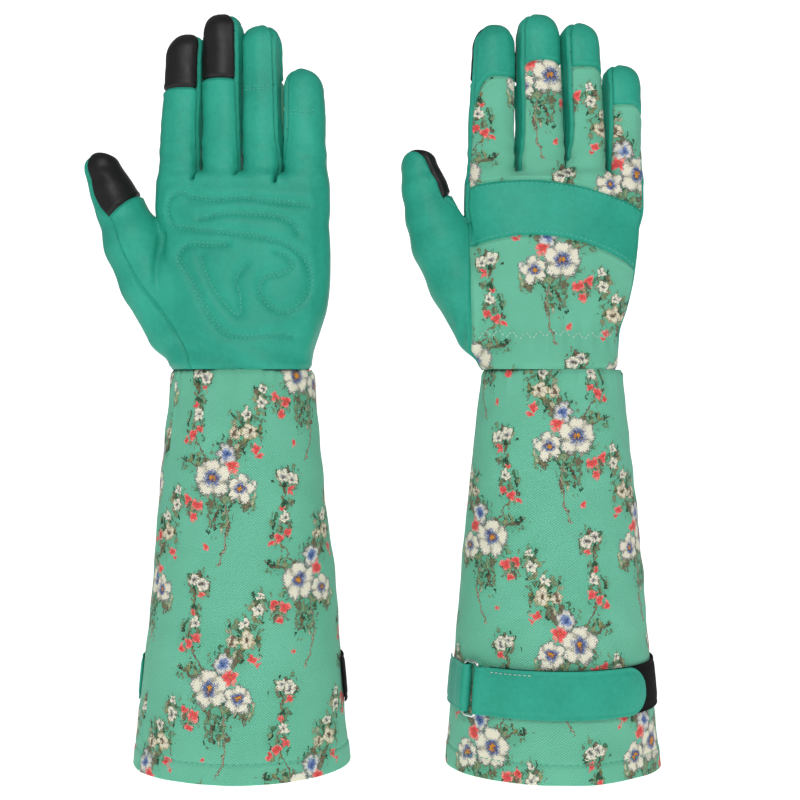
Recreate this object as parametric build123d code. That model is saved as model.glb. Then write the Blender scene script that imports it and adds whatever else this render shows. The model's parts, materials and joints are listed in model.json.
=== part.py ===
from build123d import *
import math
import os

# A pair of long-cuffed gardening gloves, filled out and standing on their hems. Millimetres.
# Each glove is modelled about its own upright centre line: +Z up, the thumb towards -X, the palm
# towards -Y and the back of the hand towards +Y. The right glove is the left one mirrored front
# to back, so both thumbs point towards -X. The pair is then centred on the origin in X.

WALL = 1.2  # thickness of the leather and of the fabric
BEND_GAP = 0.5  # half the clearance left at a bending line
GLOVE_SPACING = 165.0  # distance between the two gloves' centre lines

# Cuff: an elliptical cone, given as half width and half depth at each end
HEM_HALF = (57.5, 45.0)
CUFF_TOP_HALF = (38.5, 25.0)
CUFF_TOP_Z = 208.0
HEM_FOLD = 10.0  # height of the turned-in hem, where the cloth is double

# Cuff strap: tab, ring and folded strap on the back of the cuff
STRAP_Z = 44.0
STRAP_WIDTH = 24.0
RING_ANGLE = 143.5  # where the ring lies round the cuff, in degrees from +X towards the back
RING_WIRE_R = 1.0
RING_LENGTH = 8.0  # between the ring's two upright bars
RING_LIFT = 3.0  # height of the bars' centres above the cuff
SLEEVE_R = 2.6  # outside radius of the leather folded round a bar
SLEEVE_HOLE_R = 1.25
STRAP_LAYER = (1.6, 3.0)  # lowest and highest height of the folded strap above the cuff
BASE_LAYER = (0.0, 1.2)
STRAP_END_X = 43.0  # tip of the rounded free end
BASE_WRAP_Y = -6.0  # how far the base strap runs round the little-finger side

# Hand: rounded sections as height, lowest x, highest x and depth
HAND_SECTIONS = (
    (226.0, -44.0, 40.5, 46.0),
    (245.0, -46.0, 45.5, 42.0),
    (280.0, -46.0, 47.0, 36.0),
    (311.0, -46.0, 47.0, 30.0),
)
BACK_SEAM_Y = 6.0  # the leather wraps round the hand's sides up to here
BACK_EDGE_X = -44.5  # thumb-side edge of the cloth back
BAND_TOP = ((-46.0, 305.0), (-8.0, 309.0), (47.0, 294.0))  # knuckle band's edges, as x and z
BAND_BOTTOM = ((-46.0, 272.5), (-6.0, 278.0), (47.0, 260.0))
PADS = ((0.0, 289.0, 31.0, 8.0), (-19.0, 256.0, 12.0, 20.0), (20.0, 254.0, 12.0, 20.0))  # x, z, half sizes
PAD_THICKNESS = 2.5

# Fingers: centre, radius at the base, length of the cap and of the touch-screen tip, by finger
FINGERS = ("index", "middle", "ring", "little")
FINGER_X = {"left": (-33.3, -10.3, 11.6, 34.3), "right": (-33.3, -7.5, 16.5, 37.6)}
FINGER_TIP_Z = {"left": (387.0, 397.5, 391.5, 369.0), "right": (392.0, 397.5, 393.0, 371.0)}
FINGER_BASE_R = (10.9, 10.9, 10.8, 10.6)
FINGER_TIP_R = 9.8
CAP_LENGTH = (31.0, 26.0, 24.0, 23.0)
TOUCH_LENGTH = (30.0, 35.0, 0.0, 0.0)
KNUCKLE_Z = 318.0
KNUCKLE_Y = -4.0  # the fingers bend about a line nearer the palm than the back
FINGER_START_Z = 300.0
SIDEWALL_Y = 5.0  # half the depth of the strips between the fingers
FINGER_FOLD = 60.0
FINGER_BACK = 10.0

# Thumb: a tilted cone with its own frame, whose z runs along the thumb
THUMB_BASE = (-58.0, 0.0, 275.0)
THUMB_TILT = 21.4
THUMB_STATIONS = ((-56.0, 11.0), (0.0, 15.8), (43.0, 11.8))  # distance along the thumb and radius
THUMB_HINGE = 10.5
THUMB_FOLD = 40.0
THUMB_BACK = 10.0
THUMB_TOUCH_START = 19.0
THUMB_TOUCH_ROLL = 35.0  # the thumb's pad faces partly towards the palm

REACH = 200.0  # longer than anything it cuts


def block(x, y, z):
    """A box between two limits along each axis."""
    middle = [(low + high) / 2 for low, high in (x, y, z)]
    return Pos(*middle) * Box(x[1] - x[0], y[1] - y[0], z[1] - z[0])


def half(axis, sign, at):
    """Everything on one side of a plane square to an axis, as a large box."""
    limits = {name: (-REACH, REACH * 3) for name in "xyz"}
    limits[axis] = (at, REACH * 3) if sign > 0 else (-REACH * 3, at)
    return block(limits["x"], limits["y"], limits["z"])


def cuff_half(z):
    """Half width and half depth of the cuff's outer ellipse at a height."""
    return [low + (top - low) * z / CUFF_TOP_Z for low, top in zip(HEM_HALF, CUFF_TOP_HALF)]


def cuff_form(grow, low, high):
    """The solid cone of the cuff, grown outwards, between two heights."""
    sections = []
    for z in (low, high):
        half_x, half_y = cuff_half(z)
        sections.append(Pos(0, 0, z) * Ellipse(half_x + grow, half_y + grow))
    return loft(sections, ruled=True)


def cuff_frame(lift):
    """The plane lying on the cuff at the ring: x along the strap, y up the cuff, z outwards."""
    angle = math.radians(RING_ANGLE)
    half_x, half_y = cuff_half(STRAP_Z)
    tangent = Vector(half_x * math.sin(angle), -half_y * math.cos(angle), 0).normalized()
    slope_x = (CUFF_TOP_HALF[0] - HEM_HALF[0]) / CUFF_TOP_Z * math.cos(angle)
    slope_y = (CUFF_TOP_HALF[1] - HEM_HALF[1]) / CUFF_TOP_Z * math.sin(angle)
    normal = Vector(slope_x, slope_y, 1).cross(tangent).normalized()
    spot = Vector(half_x * math.cos(angle), half_y * math.sin(angle), STRAP_Z)
    return Plane(origin=spot + normal * lift, x_dir=tangent, z_dir=normal)


def bend_wedge(fold, back):
    """The space cleared at a bending line along X, which shuts as the piece above it turns."""
    palm_side = BEND_GAP + REACH * math.tan(math.radians(fold / 2))
    back_side = BEND_GAP + REACH * math.tan(math.radians(back / 2))
    outline = Polygon(
        (-REACH, -palm_side),
        (0, -BEND_GAP),
        (REACH, -back_side),
        (REACH, back_side),
        (0, BEND_GAP),
        (-REACH, palm_side),
        align=None,
    )
    return extrude(Plane.YZ * outline, amount=REACH, both=True)


def digit_form(stations, inset):
    """A round tapering finger along +Z through (height, radius) stations, with a domed end."""
    points = [(0, stations[0][0])] + [(radius - inset, z) for z, radius in stations]
    end_z, end_r = stations[-1][0], stations[-1][1] - inset
    side = end_r * math.sqrt(0.5)
    outline = Polyline(*points)
    outline += ThreePointArc((end_r, end_z), (side, end_z + side), (0, end_z + end_r))
    outline += Line((0, end_z + end_r), (0, stations[0][0]))
    return revolve(Plane.XZ * make_face(outline), axis=Axis.Z)


def hand_form(inset):
    """The solid palm between the wrist and the roots of the fingers."""
    sections = []
    for z, low, high, depth in HAND_SECTIONS:
        top = inset if z == HAND_SECTIONS[-1][0] else 0.0
        outline = RectangleRounded(high - low - 2 * inset, depth - 2 * inset, (depth / 2 - inset) * 0.96)
        sections.append(Pos((low + high) / 2, 0, z - top) * outline)
    return loft(sections, ruled=True)


def thumb_frame():
    """The thumb's own frame: z along the thumb, x across it towards the fingers."""
    tilt = math.radians(THUMB_TILT)
    return Plane(
        origin=THUMB_BASE,
        x_dir=(math.cos(tilt), 0, math.sin(tilt)),
        z_dir=(-math.sin(tilt), 0, math.cos(tilt)),
    )


def finger_stations(side, number):
    """Heights and radii of a finger's cone."""
    tip_z = FINGER_TIP_Z[side][number]
    return ((FINGER_START_Z, FINGER_BASE_R[number]), (tip_z - FINGER_TIP_R, FINGER_TIP_R))


def make_cuff():
    """The floral cuff: one tube of cloth with its lower edge turned in."""
    inside = cuff_form(-WALL, HEM_FOLD, CUFF_TOP_Z) + cuff_form(-2 * WALL, 0, HEM_FOLD)
    return cuff_form(0, 0, CUFF_TOP_Z) - inside


def strap_band(layer):
    """A band of the strap's width round the whole cuff, between two heights above it."""
    low, high = STRAP_Z - STRAP_WIDTH / 2, STRAP_Z + STRAP_WIDTH / 2
    return cuff_form(layer[1], low, high) - cuff_form(layer[0], low, high)


def sleeve(bar_x, hole):
    """Leather folded round one bar of the ring, or the hole that the bar turns in."""
    radius = SLEEVE_HOLE_R if hole else SLEEVE_R
    length = 3 * STRAP_WIDTH if hole else STRAP_WIDTH
    tube = Rot(90, 0, 0) * Cylinder(radius, length)
    return cuff_frame(RING_LIFT) * (Pos(bar_x, 0, 0) * tube)


def make_strap_pieces():
    """The tab, the ring, the base strap and the strap folded back over it."""
    frame = cuff_frame(0)
    bar = RING_LENGTH / 2
    before_ring = frame * block((-REACH, -bar), (-REACH, REACH), (-REACH, REACH))
    after_ring = frame * block((bar, REACH), (-REACH, REACH), (-REACH, REACH))
    tab = strap_band((0.0, WALL)) & before_ring & half("y", 1, -3.0)
    tab = tab + sleeve(-bar, False) - sleeve(-bar, True)
    end_r = STRAP_WIDTH / 2
    outline = Rectangle(REACH, STRAP_WIDTH, align=(Align.MAX, Align.CENTER)) + Circle(end_r)
    outline = Pos(STRAP_END_X - end_r, STRAP_Z) * outline
    free_end = mirror(extrude(Plane.XZ * outline, amount=REACH), about=Plane.XZ)
    strap = strap_band(STRAP_LAYER) & after_ring & free_end
    strap = strap + sleeve(bar, False) - sleeve(bar, True)
    clear = frame * block((bar + SLEEVE_R + BEND_GAP, REACH), (-REACH, REACH), (-REACH, REACH))
    base = strap_band(BASE_LAYER) & clear & half("y", 1, BASE_WRAP_Y)
    ring_height = STRAP_WIDTH + 2 * RING_WIRE_R + 2 * BEND_GAP
    path = RectangleRounded(RING_LENGTH, ring_height, 2.0).wire()
    section = Plane(origin=path @ 0, z_dir=path % 0) * Circle(RING_WIRE_R)
    ring = cuff_frame(RING_LIFT) * sweep(section, path=path)
    return {"strap_tab": tab, "strap_base": base, "strap_ring": ring, "strap": strap}


def make_wrist():
    """The elasticated stretch between the cuff and the hand, which takes up the wrist's bend."""
    top_z, low, high, depth = HAND_SECTIONS[0]
    forms = []
    for inset in (0.0, WALL):
        lower = RectangleRounded(
            2 * (CUFF_TOP_HALF[0] - inset), 2 * (CUFF_TOP_HALF[1] - inset), (CUFF_TOP_HALF[1] - inset) * 0.96
        )
        upper = RectangleRounded(high - low - 2 * inset, depth - 2 * inset, (depth / 2 - inset) * 0.96)
        lower = Pos(0, 0, CUFF_TOP_Z + BEND_GAP / 2) * lower
        forms.append(loft([lower, Pos((low + high) / 2, 0, top_z - BEND_GAP / 2) * upper], ruled=True))
    return forms[0] - forms[1]


def band_prism():
    """Everything behind and in front of the knuckle band's outline."""
    outline = ThreePointArc(*BAND_TOP)
    outline += Line(BAND_TOP[-1], BAND_BOTTOM[-1])
    outline += ThreePointArc(*BAND_BOTTOM)
    outline += Line(BAND_BOTTOM[0], BAND_TOP[0])
    return extrude(Plane.XZ * make_face(outline), amount=REACH, both=True)


def make_hand(side):
    """The palm leather with the thumb's root, the cloth back, the knuckle band and the pads."""
    forms = []
    for inset in (0.0, WALL):
        form = hand_form(inset)
        thumb_root = thumb_frame() * (digit_form(THUMB_STATIONS, inset) & half("z", -1, THUMB_HINGE))
        form = form + (thumb_root & half("z", 1, HAND_SECTIONS[0][0]))
        for number, x in enumerate(FINGER_X[side]):
            stub = digit_form(finger_stations(side, number), inset) & half("z", -1, KNUCKLE_Z)
            form = form + Pos(x, 0, 0) * stub
        forms.append(form)
    shell = forms[0] - forms[1]
    shell = shell - Pos(0, KNUCKLE_Y, KNUCKLE_Z) * bend_wedge(FINGER_FOLD, FINGER_BACK)
    root_only = block((-24, THUMB_STATIONS[1][1]), (-40, 40), (-20, 20))
    wedge = bend_wedge(THUMB_FOLD, THUMB_BACK) & root_only
    shell = shell - thumb_frame() * (Pos(0, 0, THUMB_HINGE) * wedge)
    cloth_area = half("y", 1, BACK_SEAM_Y) & half("x", 1, BACK_EDGE_X)
    back = shell & cloth_area
    band = back & band_prism()
    pads = Part()
    lining = hand_form(WALL) - hand_form(WALL + PAD_THICKNESS)
    for x, z, half_x, half_z in PADS:
        outline = Plane.XZ * (Pos(x, z) * Ellipse(half_x, half_z))
        pads += lining & extrude(outline, amount=REACH)
    return {"palm_panel": shell - cloth_area, "back_panel": back - band, "knuckle_band": band, "palm_pads": pads}


def make_finger(side, number):
    """One finger above its bending line, cut into the pieces that are sewn together."""
    name = FINGERS[number]
    stations = finger_stations(side, number)
    shell = digit_form(stations, 0.0) - digit_form(stations, WALL)
    shell = shell & half("z", 1, KNUCKLE_Z)
    shell = shell - Pos(0, KNUCKLE_Y, KNUCKLE_Z) * bend_wedge(FINGER_FOLD, FINGER_BACK)
    dome_z = stations[-1][0]
    tip_z = FINGER_TIP_Z[side][number]
    strips = half("z", -1, dome_z) & block((-REACH, REACH), (-SIDEWALL_Y, SIDEWALL_Y), (0, REACH * 3))
    if name == "index":
        strips = strips & half("x", 1, 0)
    if name == "little":
        strips = strips & half("x", -1, 0)
    sidewall = shell & strips
    rest = shell - strips
    behind = half("y", 1, SIDEWALL_Y) + (half("y", 1, 0) & half("z", 1, dome_z))
    above_cap_line = half("z", 1, tip_z - CAP_LENGTH[number])
    front = rest - behind
    pieces = {
        "sidewall": sidewall,
        "cap": rest & behind & above_cap_line,
        "back": (rest & behind) - above_cap_line,
    }
    if TOUCH_LENGTH[number]:
        above_touch_line = half("z", 1, tip_z - TOUCH_LENGTH[number]) & half("y", -1, 0)
        pieces["touch_tip"] = front & above_touch_line
        front = front - above_touch_line
    pieces["front"] = front
    return {f"{name}_{piece}": Pos(FINGER_X[side][number], 0, 0) * solid for piece, solid in pieces.items()}


def make_thumb():
    """The thumb beyond its bending line: the leather and the touch-screen tip on its pad."""
    shell = digit_form(THUMB_STATIONS, 0.0) - digit_form(THUMB_STATIONS, WALL)
    shell = shell & half("z", 1, THUMB_HINGE)
    shell = shell - Pos(0, 0, THUMB_HINGE) * bend_wedge(THUMB_FOLD, THUMB_BACK)
    pad = Rot(0, 0, THUMB_TOUCH_ROLL) * (half("y", -1, -2.0) & half("z", 1, THUMB_TOUCH_START))
    frame = thumb_frame()
    return {"thumb_leather": frame * (shell - pad), "thumb_touch_tip": frame * (shell & pad)}


def make_glove(side):
    """Every piece of one glove, with the right one mirrored front to back."""
    pieces = {"cuff_panel": make_cuff(), "wrist_elastic": make_wrist()}
    pieces.update(make_strap_pieces())
    pieces.update(make_hand(side))
    pieces.update(make_thumb())
    for number in range(len(FINGERS)):
        pieces.update(make_finger(side, number))
    if side == "right":
        pieces = {name: mirror(solid, about=Plane.XZ) for name, solid in pieces.items()}
    return pieces


def make_pair():
    """Both gloves side by side, centred in X."""
    nodes = {}
    for side, x in (("left", 0.0), ("right", GLOVE_SPACING)):
        for name, solid in make_glove(side).items():
            nodes[f"{side}_{name}"] = Pos(x, 0, 0) * solid
    boxes = [solid.bounding_box() for solid in nodes.values()]
    centre_x = (min(box.min.X for box in boxes) + max(box.max.X for box in boxes)) / 2
    return {name: Pos(-centre_x, 0, 0) * solid for name, solid in nodes.items()}, centre_x


if __name__ == "__main__":
    os.makedirs("parts", exist_ok=True)
    nodes, centre_x = make_pair()
    for name, solid in nodes.items():
        export_step(solid, f"parts/{name}.step")
    print("nodes", len(nodes), "centred by", round(centre_x, 3))
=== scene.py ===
import bmesh
import bpy
import json
import math
import numpy as np
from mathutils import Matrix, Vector
from mathutils.bvhtree import BVHTree
from mathutils.kdtree import KDTree


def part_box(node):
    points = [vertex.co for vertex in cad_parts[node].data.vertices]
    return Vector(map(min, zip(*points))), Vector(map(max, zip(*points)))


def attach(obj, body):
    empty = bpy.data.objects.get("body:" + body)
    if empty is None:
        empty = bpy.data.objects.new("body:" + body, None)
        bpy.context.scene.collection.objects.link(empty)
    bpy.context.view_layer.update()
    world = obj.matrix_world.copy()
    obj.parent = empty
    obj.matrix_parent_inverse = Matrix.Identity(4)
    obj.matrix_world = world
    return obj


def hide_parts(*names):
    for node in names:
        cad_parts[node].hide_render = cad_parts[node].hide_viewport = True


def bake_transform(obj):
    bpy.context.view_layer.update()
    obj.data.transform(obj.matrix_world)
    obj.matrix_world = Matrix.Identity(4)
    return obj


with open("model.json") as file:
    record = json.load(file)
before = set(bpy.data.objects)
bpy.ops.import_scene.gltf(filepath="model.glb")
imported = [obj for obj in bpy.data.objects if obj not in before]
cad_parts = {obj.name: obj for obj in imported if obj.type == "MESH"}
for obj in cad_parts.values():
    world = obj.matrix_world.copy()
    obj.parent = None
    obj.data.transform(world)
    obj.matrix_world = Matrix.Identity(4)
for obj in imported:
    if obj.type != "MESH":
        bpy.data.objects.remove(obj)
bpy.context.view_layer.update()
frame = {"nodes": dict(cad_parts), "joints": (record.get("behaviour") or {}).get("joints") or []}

# Shapes are worked out in millimetres about each glove's own centre line, with the thumb towards
# -X and the palm towards -Y, and are mirrored and moved into the row frame when a mesh is made.

GRID_STEP = 0.75  # spacing of the sampled field that the hand is drawn from
LEATHER = 1.0  # thickness of a sewn piece
FINGERS = ("index", "middle", "ring", "little")
CUFF_TOP_HALF_WIDTH = 38.5

# Palm outline: height, thumb side, little-finger side of the left and of the right, half depth
PALM_STATIONS = np.array((
    (196.0, -38.0, 35.0, 34.0, 25.0),
    (209.0, -39.0, 36.2, 34.5, 24.6),
    (219.0, -41.5, 37.5, 34.8, 23.4),
    (229.0, -43.0, 41.0, 36.0, 22.0),
    (240.0, -44.5, 44.8, 40.0, 20.6),
    (252.0, -45.2, 46.6, 43.0, 19.4),
    (268.0, -45.6, 46.6, 45.0, 18.0),
    (286.0, -45.6, 45.6, 46.4, 16.6),
    (300.0, -44.6, 44.2, 46.0, 15.0),
    (318.0, -43.6, 43.0, 45.4, 12.5),
))
PALM_TOP = 312.0
# Each glove's own stance: where its fingers part at their base, and where their tips stand
FINGER_EDGES = {"left": (-44.8, -21.7, 0.4, 22.0, 44.6), "right": (-44.8, -19.6, 7.0, 28.6, 47.6)}
FINGER_TIP_X = {"left": (-29.6, -10.7, 10.2, 31.8), "right": (-31.0, -8.0, 14.4, 36.2)}
FINGER_ROLL = {"left": (8.0, 15.0, 24.0, -16.0), "right": (6.0, 16.0, 26.0, 24.0)}
FINGER_TIP_HALF = 10.8
FINGER_HALF_DEPTH = (11.6, 10.0)  # at the base and at the tip
FINGER_DOME = 12.5
FINGER_ROOT = 296.0
CROTCH_Z = {"left": (308.5, 311.5, 307.0), "right": (314.5, 320.0, 310.5)}
SLIT_HALF = 0.8
SLIT_SLANT = 0.32  # the gap between two fingers leans across as it goes from the palm to the back
DIVIDE_Z = 308.0  # the palm's sheet is divided from the fingers' here, with no seam
SIDEWALL_HALF = 4.6
CAP_LENGTH = (29.0, 26.0, 25.0, 23.0)
# How far the edge of each finger's cap falls at its two sides
CAP_DROP = ((14.0, 0.0), (2.5, 2.5), (0.0, 9.0), (0.0, 12.0))
TOUCH_LENGTH = (30.0, 35.5, 0.0, 0.0)
# Along the thumb from its hinge, sideways towards the fingers, and radius
THUMB_STATIONS = {
    "left": ((-60.0, 1.0, 13.0), (-32.0, 0.5, 16.0), (-9.0, 0.0, 16.0),
             (10.0, -0.7, 12.8), (20.0, -1.2, 11.2), (33.0, -1.8, 9.5)),
    "right": ((-60.0, 1.0, 13.0), (-32.0, 0.5, 16.0), (-9.0, -0.3, 16.2),
              (5.0, -0.6, 14.0), (20.0, 1.2, 11.8), (33.0, 2.8, 9.6)),
}
THUMB_PATCH_ROLL = math.radians(43)
THUMB_DIVIDE = -14.0  # along the thumb: its leather is divided from the hand's here, with no seam
THUMB_TOUCH_START, THUMB_TOUCH_SLANT = 6.5, 0.37  # along the thumb, and per millimetre across it
THUMB_FORK_X, THUMB_FORK_Z = -46.8, 285.0
THUMB_BEND = 12.0  # the thumb's bend reaches this far each way from its hinge
BAND_TOP = ((-46.0, 304.5), (-8.0, 307.5), (47.0, 292.5))  # knuckle band's edges, as x and z
BAND_BOTTOM = ((-46.0, 272.0), (-6.0, 278.0), (47.0, 259.0))
BACK_SEAM_Y = 6.0
BACK_EDGE_X = -44.0
ELASTIC_Z = 226.0
STRAP_HEIGHT = 24.0
SIDE_SEAM = math.radians(208)
HEM_STITCH_Z = 10.0
CUFF_RADIUS = 50.0  # about, for spacing stitches round the cuff
RING_BAR = 4.0  # from the strap ring's middle to each of its bars, round the cuff
RING_LIFT = 3.0  # from the cuff out to the middle of the ring's wire
FOLD_RADIUS = 1.9  # of the strap and the tab round the ring's bars
STRAP_TIP_X = 43.0
FOLDED_THICKNESS = 1.3  # of the strap and the tab
TAPE_THICKNESS = 1.2
TAPE_LIFT = 0.9  # from the cuff to the middle of the base strap
STRAP_LIFT = 2.4  # from the cuff to the middle of the folded strap, where it lies on the base strap
STITCH_ROW_GAP = 1.9  # from a seam to the row of stitches beside it, and between the rows of a double row
HALF_METRE = 500.0  # times a size in metres is half that size in millimetres


def joint(name):
    """A joint of the frame by its name."""
    return next(j for j in frame["joints"] if j["name"] == name)


def smoothstep(low, high, value):
    """0 below low, 1 above high, and smooth between."""
    t = np.clip((value - low) / (high - low), 0.0, 1.0)
    return t * t * (3.0 - 2.0 * t)


def smooth_min(a, b, width):
    """The smaller of two fields, rounded where they cross."""
    h = np.clip(0.5 + 0.5 * (b - a) / width, 0.0, 1.0)
    return b + (a - b) * h - width * h * (1.0 - h)


def curve_through(x, points):
    """A smooth curve's value at x, through points given as (x, value) rows sorted by x."""
    points = np.asarray(points, float)
    slopes = np.gradient(points[:, 1], points[:, 0])
    i = np.clip(np.searchsorted(points[:, 0], x) - 1, 0, len(points) - 2)
    span = points[i + 1, 0] - points[i, 0]
    t = np.clip((x - points[i, 0]) / span, 0.0, 1.0)
    rise = points[i, 1] * (1 + 2 * t) * (1 - t) ** 2 + points[i + 1, 1] * t * t * (3 - 2 * t)
    return rise + span * (slopes[i] * t * (1 - t) ** 2 + slopes[i + 1] * t * t * (t - 1))


def path_through(points, spacing):
    """A smooth line through a few control points, sampled about every spacing."""
    points = np.asarray(points, float)
    along = distance_along(points)
    fine = np.linspace(0.0, along[-1], max(int(along[-1] / spacing), 2) + 1)
    columns = [curve_through(fine, np.column_stack((along, column))) for column in points.T]
    return np.column_stack(columns)


def distance_along(line):
    """Each point's distance from the start of a line."""
    return np.concatenate(([0.0], np.cumsum(np.linalg.norm(np.diff(line, axis=0), axis=1))))


def unit(vectors):
    """Vectors brought to length 1."""
    return vectors / np.maximum(np.linalg.norm(vectors, axis=1), 1e-12)[:, None]


def sides_of(triangles):
    """The three sides of every triangle, as pairs of points."""
    return np.concatenate([triangles[:, (0, 1)], triangles[:, (1, 2)], triangles[:, (2, 0)]])


def ripple(p, size, seed):
    """Smooth unevenness between about -1 and 1 with features of a given size."""
    random = np.random.default_rng(seed)
    total = np.zeros(len(p))
    for _ in range(7):
        direction = random.normal(size=3)
        direction *= 2 * math.pi / (size * random.uniform(0.8, 2.0) * np.linalg.norm(direction))
        total += np.sin(p @ direction + random.uniform(0, 2 * math.pi))
    return total / 3.5


class Glove:
    """One glove's own sizes, read from its CAD nodes and joints."""

    def __init__(self, side):
        self.side = side
        self.turn = 1.0 if side == "left" else -1.0
        low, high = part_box(f"{side}_cuff_panel")
        self.centre_x = (low.x + high.x) / 2
        self.hem_half = ((high.x - low.x) * HALF_METRE, (high.y - low.y) * HALF_METRE)
        self.cuff_top = high.z * 1000
        wrist_low, wrist_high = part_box(f"{side}_wrist_elastic")
        self.top_half = (CUFF_TOP_HALF_WIDTH, (wrist_high.y - wrist_low.y) * HALF_METRE)
        self.tip_z = [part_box(f"{side}_{f}_cap")[1].z * 1000 for f in FINGERS]
        self.knuckle_z = joint(f"{side}_index_flex")["pos_m"][2] * 1000
        self.hinge = np.array(self.local(joint(f"{side}_thumb_flex")["pos_m"]))
        axis = joint(f"{side}_thumb_flex")["axis"]
        self.thumb_x = np.array((axis[0] * self.turn, 0.0, axis[2] * self.turn))
        self.thumb_z = np.array((-self.thumb_x[2], 0.0, self.thumb_x[0]))
        self.thumb_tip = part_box(f"{side}_thumb_touch_tip")[1].z * 1000

    def local(self, place):
        """A point of the row frame in this glove's own millimetres."""
        x, y, z = place
        return (x - self.centre_x) * 1000, y * 1000 * self.turn, z * 1000

    def world(self, points):
        """Points in this glove's own millimetres, in the row frame."""
        x, y, z = np.asarray(points, float).T
        return np.column_stack((x / 1000 + self.centre_x, y / 1000 * self.turn, z / 1000))

    def name(self, piece):
        """This glove's name for a piece, node, joint or body."""
        return f"{self.side}_{piece}"

    def thumb_place(self, p):
        """Points by the thumb: across towards the fingers, front to back, and along it from its hinge."""
        offset = p - self.hinge
        return offset @ self.thumb_x, offset[:, 1], offset @ self.thumb_z

    def finger_centre(self, number, z):
        """A finger's centre line at a height."""
        base = (FINGER_EDGES[self.side][number] + FINGER_EDGES[self.side][number + 1]) / 2
        rise = np.clip((z - FINGER_ROOT) / (self.tip_z[number] - FINGER_ROOT), 0, 1)
        return base + (FINGER_TIP_X[self.side][number] - base) * rise ** 1.5

    def beyond_gap(self, gap, p):
        """How far each point lies beyond a gap between fingers, towards the little finger."""
        x, y, z = p.T
        base = FINGER_EDGES[self.side][gap + 1]
        tips = FINGER_TIP_X[self.side]
        rise = np.clip((z - FINGER_ROOT) / (self.tip_z[gap] - FINGER_ROOT), 0, 1)
        return x - SLIT_SLANT * y - base - ((tips[gap] + tips[gap + 1]) / 2 - base) * rise ** 1.5


# The hand's outer surface, as a field that is negative inside


def palm_field(glove, p):
    """The palm: a rounded oval at each height, closed at the top under the fingers."""
    x, y, z = p.T
    edges = (1, 2 if glove.side == "left" else 3, 4)
    low, high, half_depth = [curve_through(z, PALM_STATIONS[:, (0, c)]) for c in edges]
    half_width = (high - low) / 2
    across = np.abs(x - (low + high) / 2) / half_width
    ring = (across ** 2.7 + np.abs(y / half_depth) ** 2.3) ** (1 / 2.5) - 1
    return -smooth_min(-ring * half_depth, PALM_TOP - z, 5.0)


def finger_field(glove, number, p):
    """One finger: a tapering oval with a domed tip and a rounded root."""
    x, y, z = p.T
    tip = glove.tip_z[number]
    share = np.clip((z - FINGER_ROOT) / (tip - FINGER_ROOT), 0, 1)
    base_half = (FINGER_EDGES[glove.side][number + 1] - FINGER_EDGES[glove.side][number]) / 2 + 0.3
    half_width = base_half + (FINGER_TIP_HALF - base_half) * share ** 2
    half_depth = FINGER_HALF_DEPTH[0] + (FINGER_HALF_DEPTH[1] - FINGER_HALF_DEPTH[0]) * share
    above = np.maximum(z - (tip - FINGER_DOME), 0.0) / FINGER_DOME
    below = np.maximum(FINGER_ROOT - z, 0.0) / FINGER_DOME
    across = np.abs(x - glove.finger_centre(number, z)) / half_width
    power = 2.25
    ring = across ** power + np.abs(y / half_depth) ** power + above ** power + below ** power
    return (ring ** (1 / power) - 1) * 10.0


def thumb_field(glove, p):
    """The thumb: cones between its stations, run together."""
    across, depth, along = glove.thumb_place(p)
    field = np.full(len(p), 1e3)
    stations = THUMB_STATIONS[glove.side]
    for (a0, x0, r0), (a1, x1, r1) in zip(stations, stations[1:]):
        run = math.hypot(a1 - a0, x1 - x0)
        t = np.clip(((along - a0) * (a1 - a0) + (across - x0) * (x1 - x0)) / run ** 2, 0, 1)
        sideways = across - x0 - t * (x1 - x0)
        lengthways = along - a0 - t * (a1 - a0)
        distance = np.sqrt(sideways ** 2 + depth ** 2 + lengthways ** 2) - (r0 + (r1 - r0) * t)
        field = smooth_min(field, distance, 3.0)
    return field


def hand_field(glove, p):
    """The whole hand: palm, thumb and fingers, with narrow gaps between the fingers."""
    z = p[:, 2]
    fingers = np.full(len(p), 1e3)
    for number in range(len(FINGERS)):
        fingers = np.minimum(fingers, finger_field(glove, number, p))
    field = smooth_min(palm_field(glove, p), fingers, 3.5)
    field = smooth_min(field, thumb_field(glove, p), 6.0 - 4.0 * smoothstep(250, 272, z))
    for gap, crotch in enumerate(CROTCH_Z[glove.side]):
        slit = np.hypot(glove.beyond_gap(gap, p), np.minimum(z - crotch, 0.0)) - SLIT_HALF
        field = -smooth_min(-field, slit, 1.6)
    return field


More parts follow.
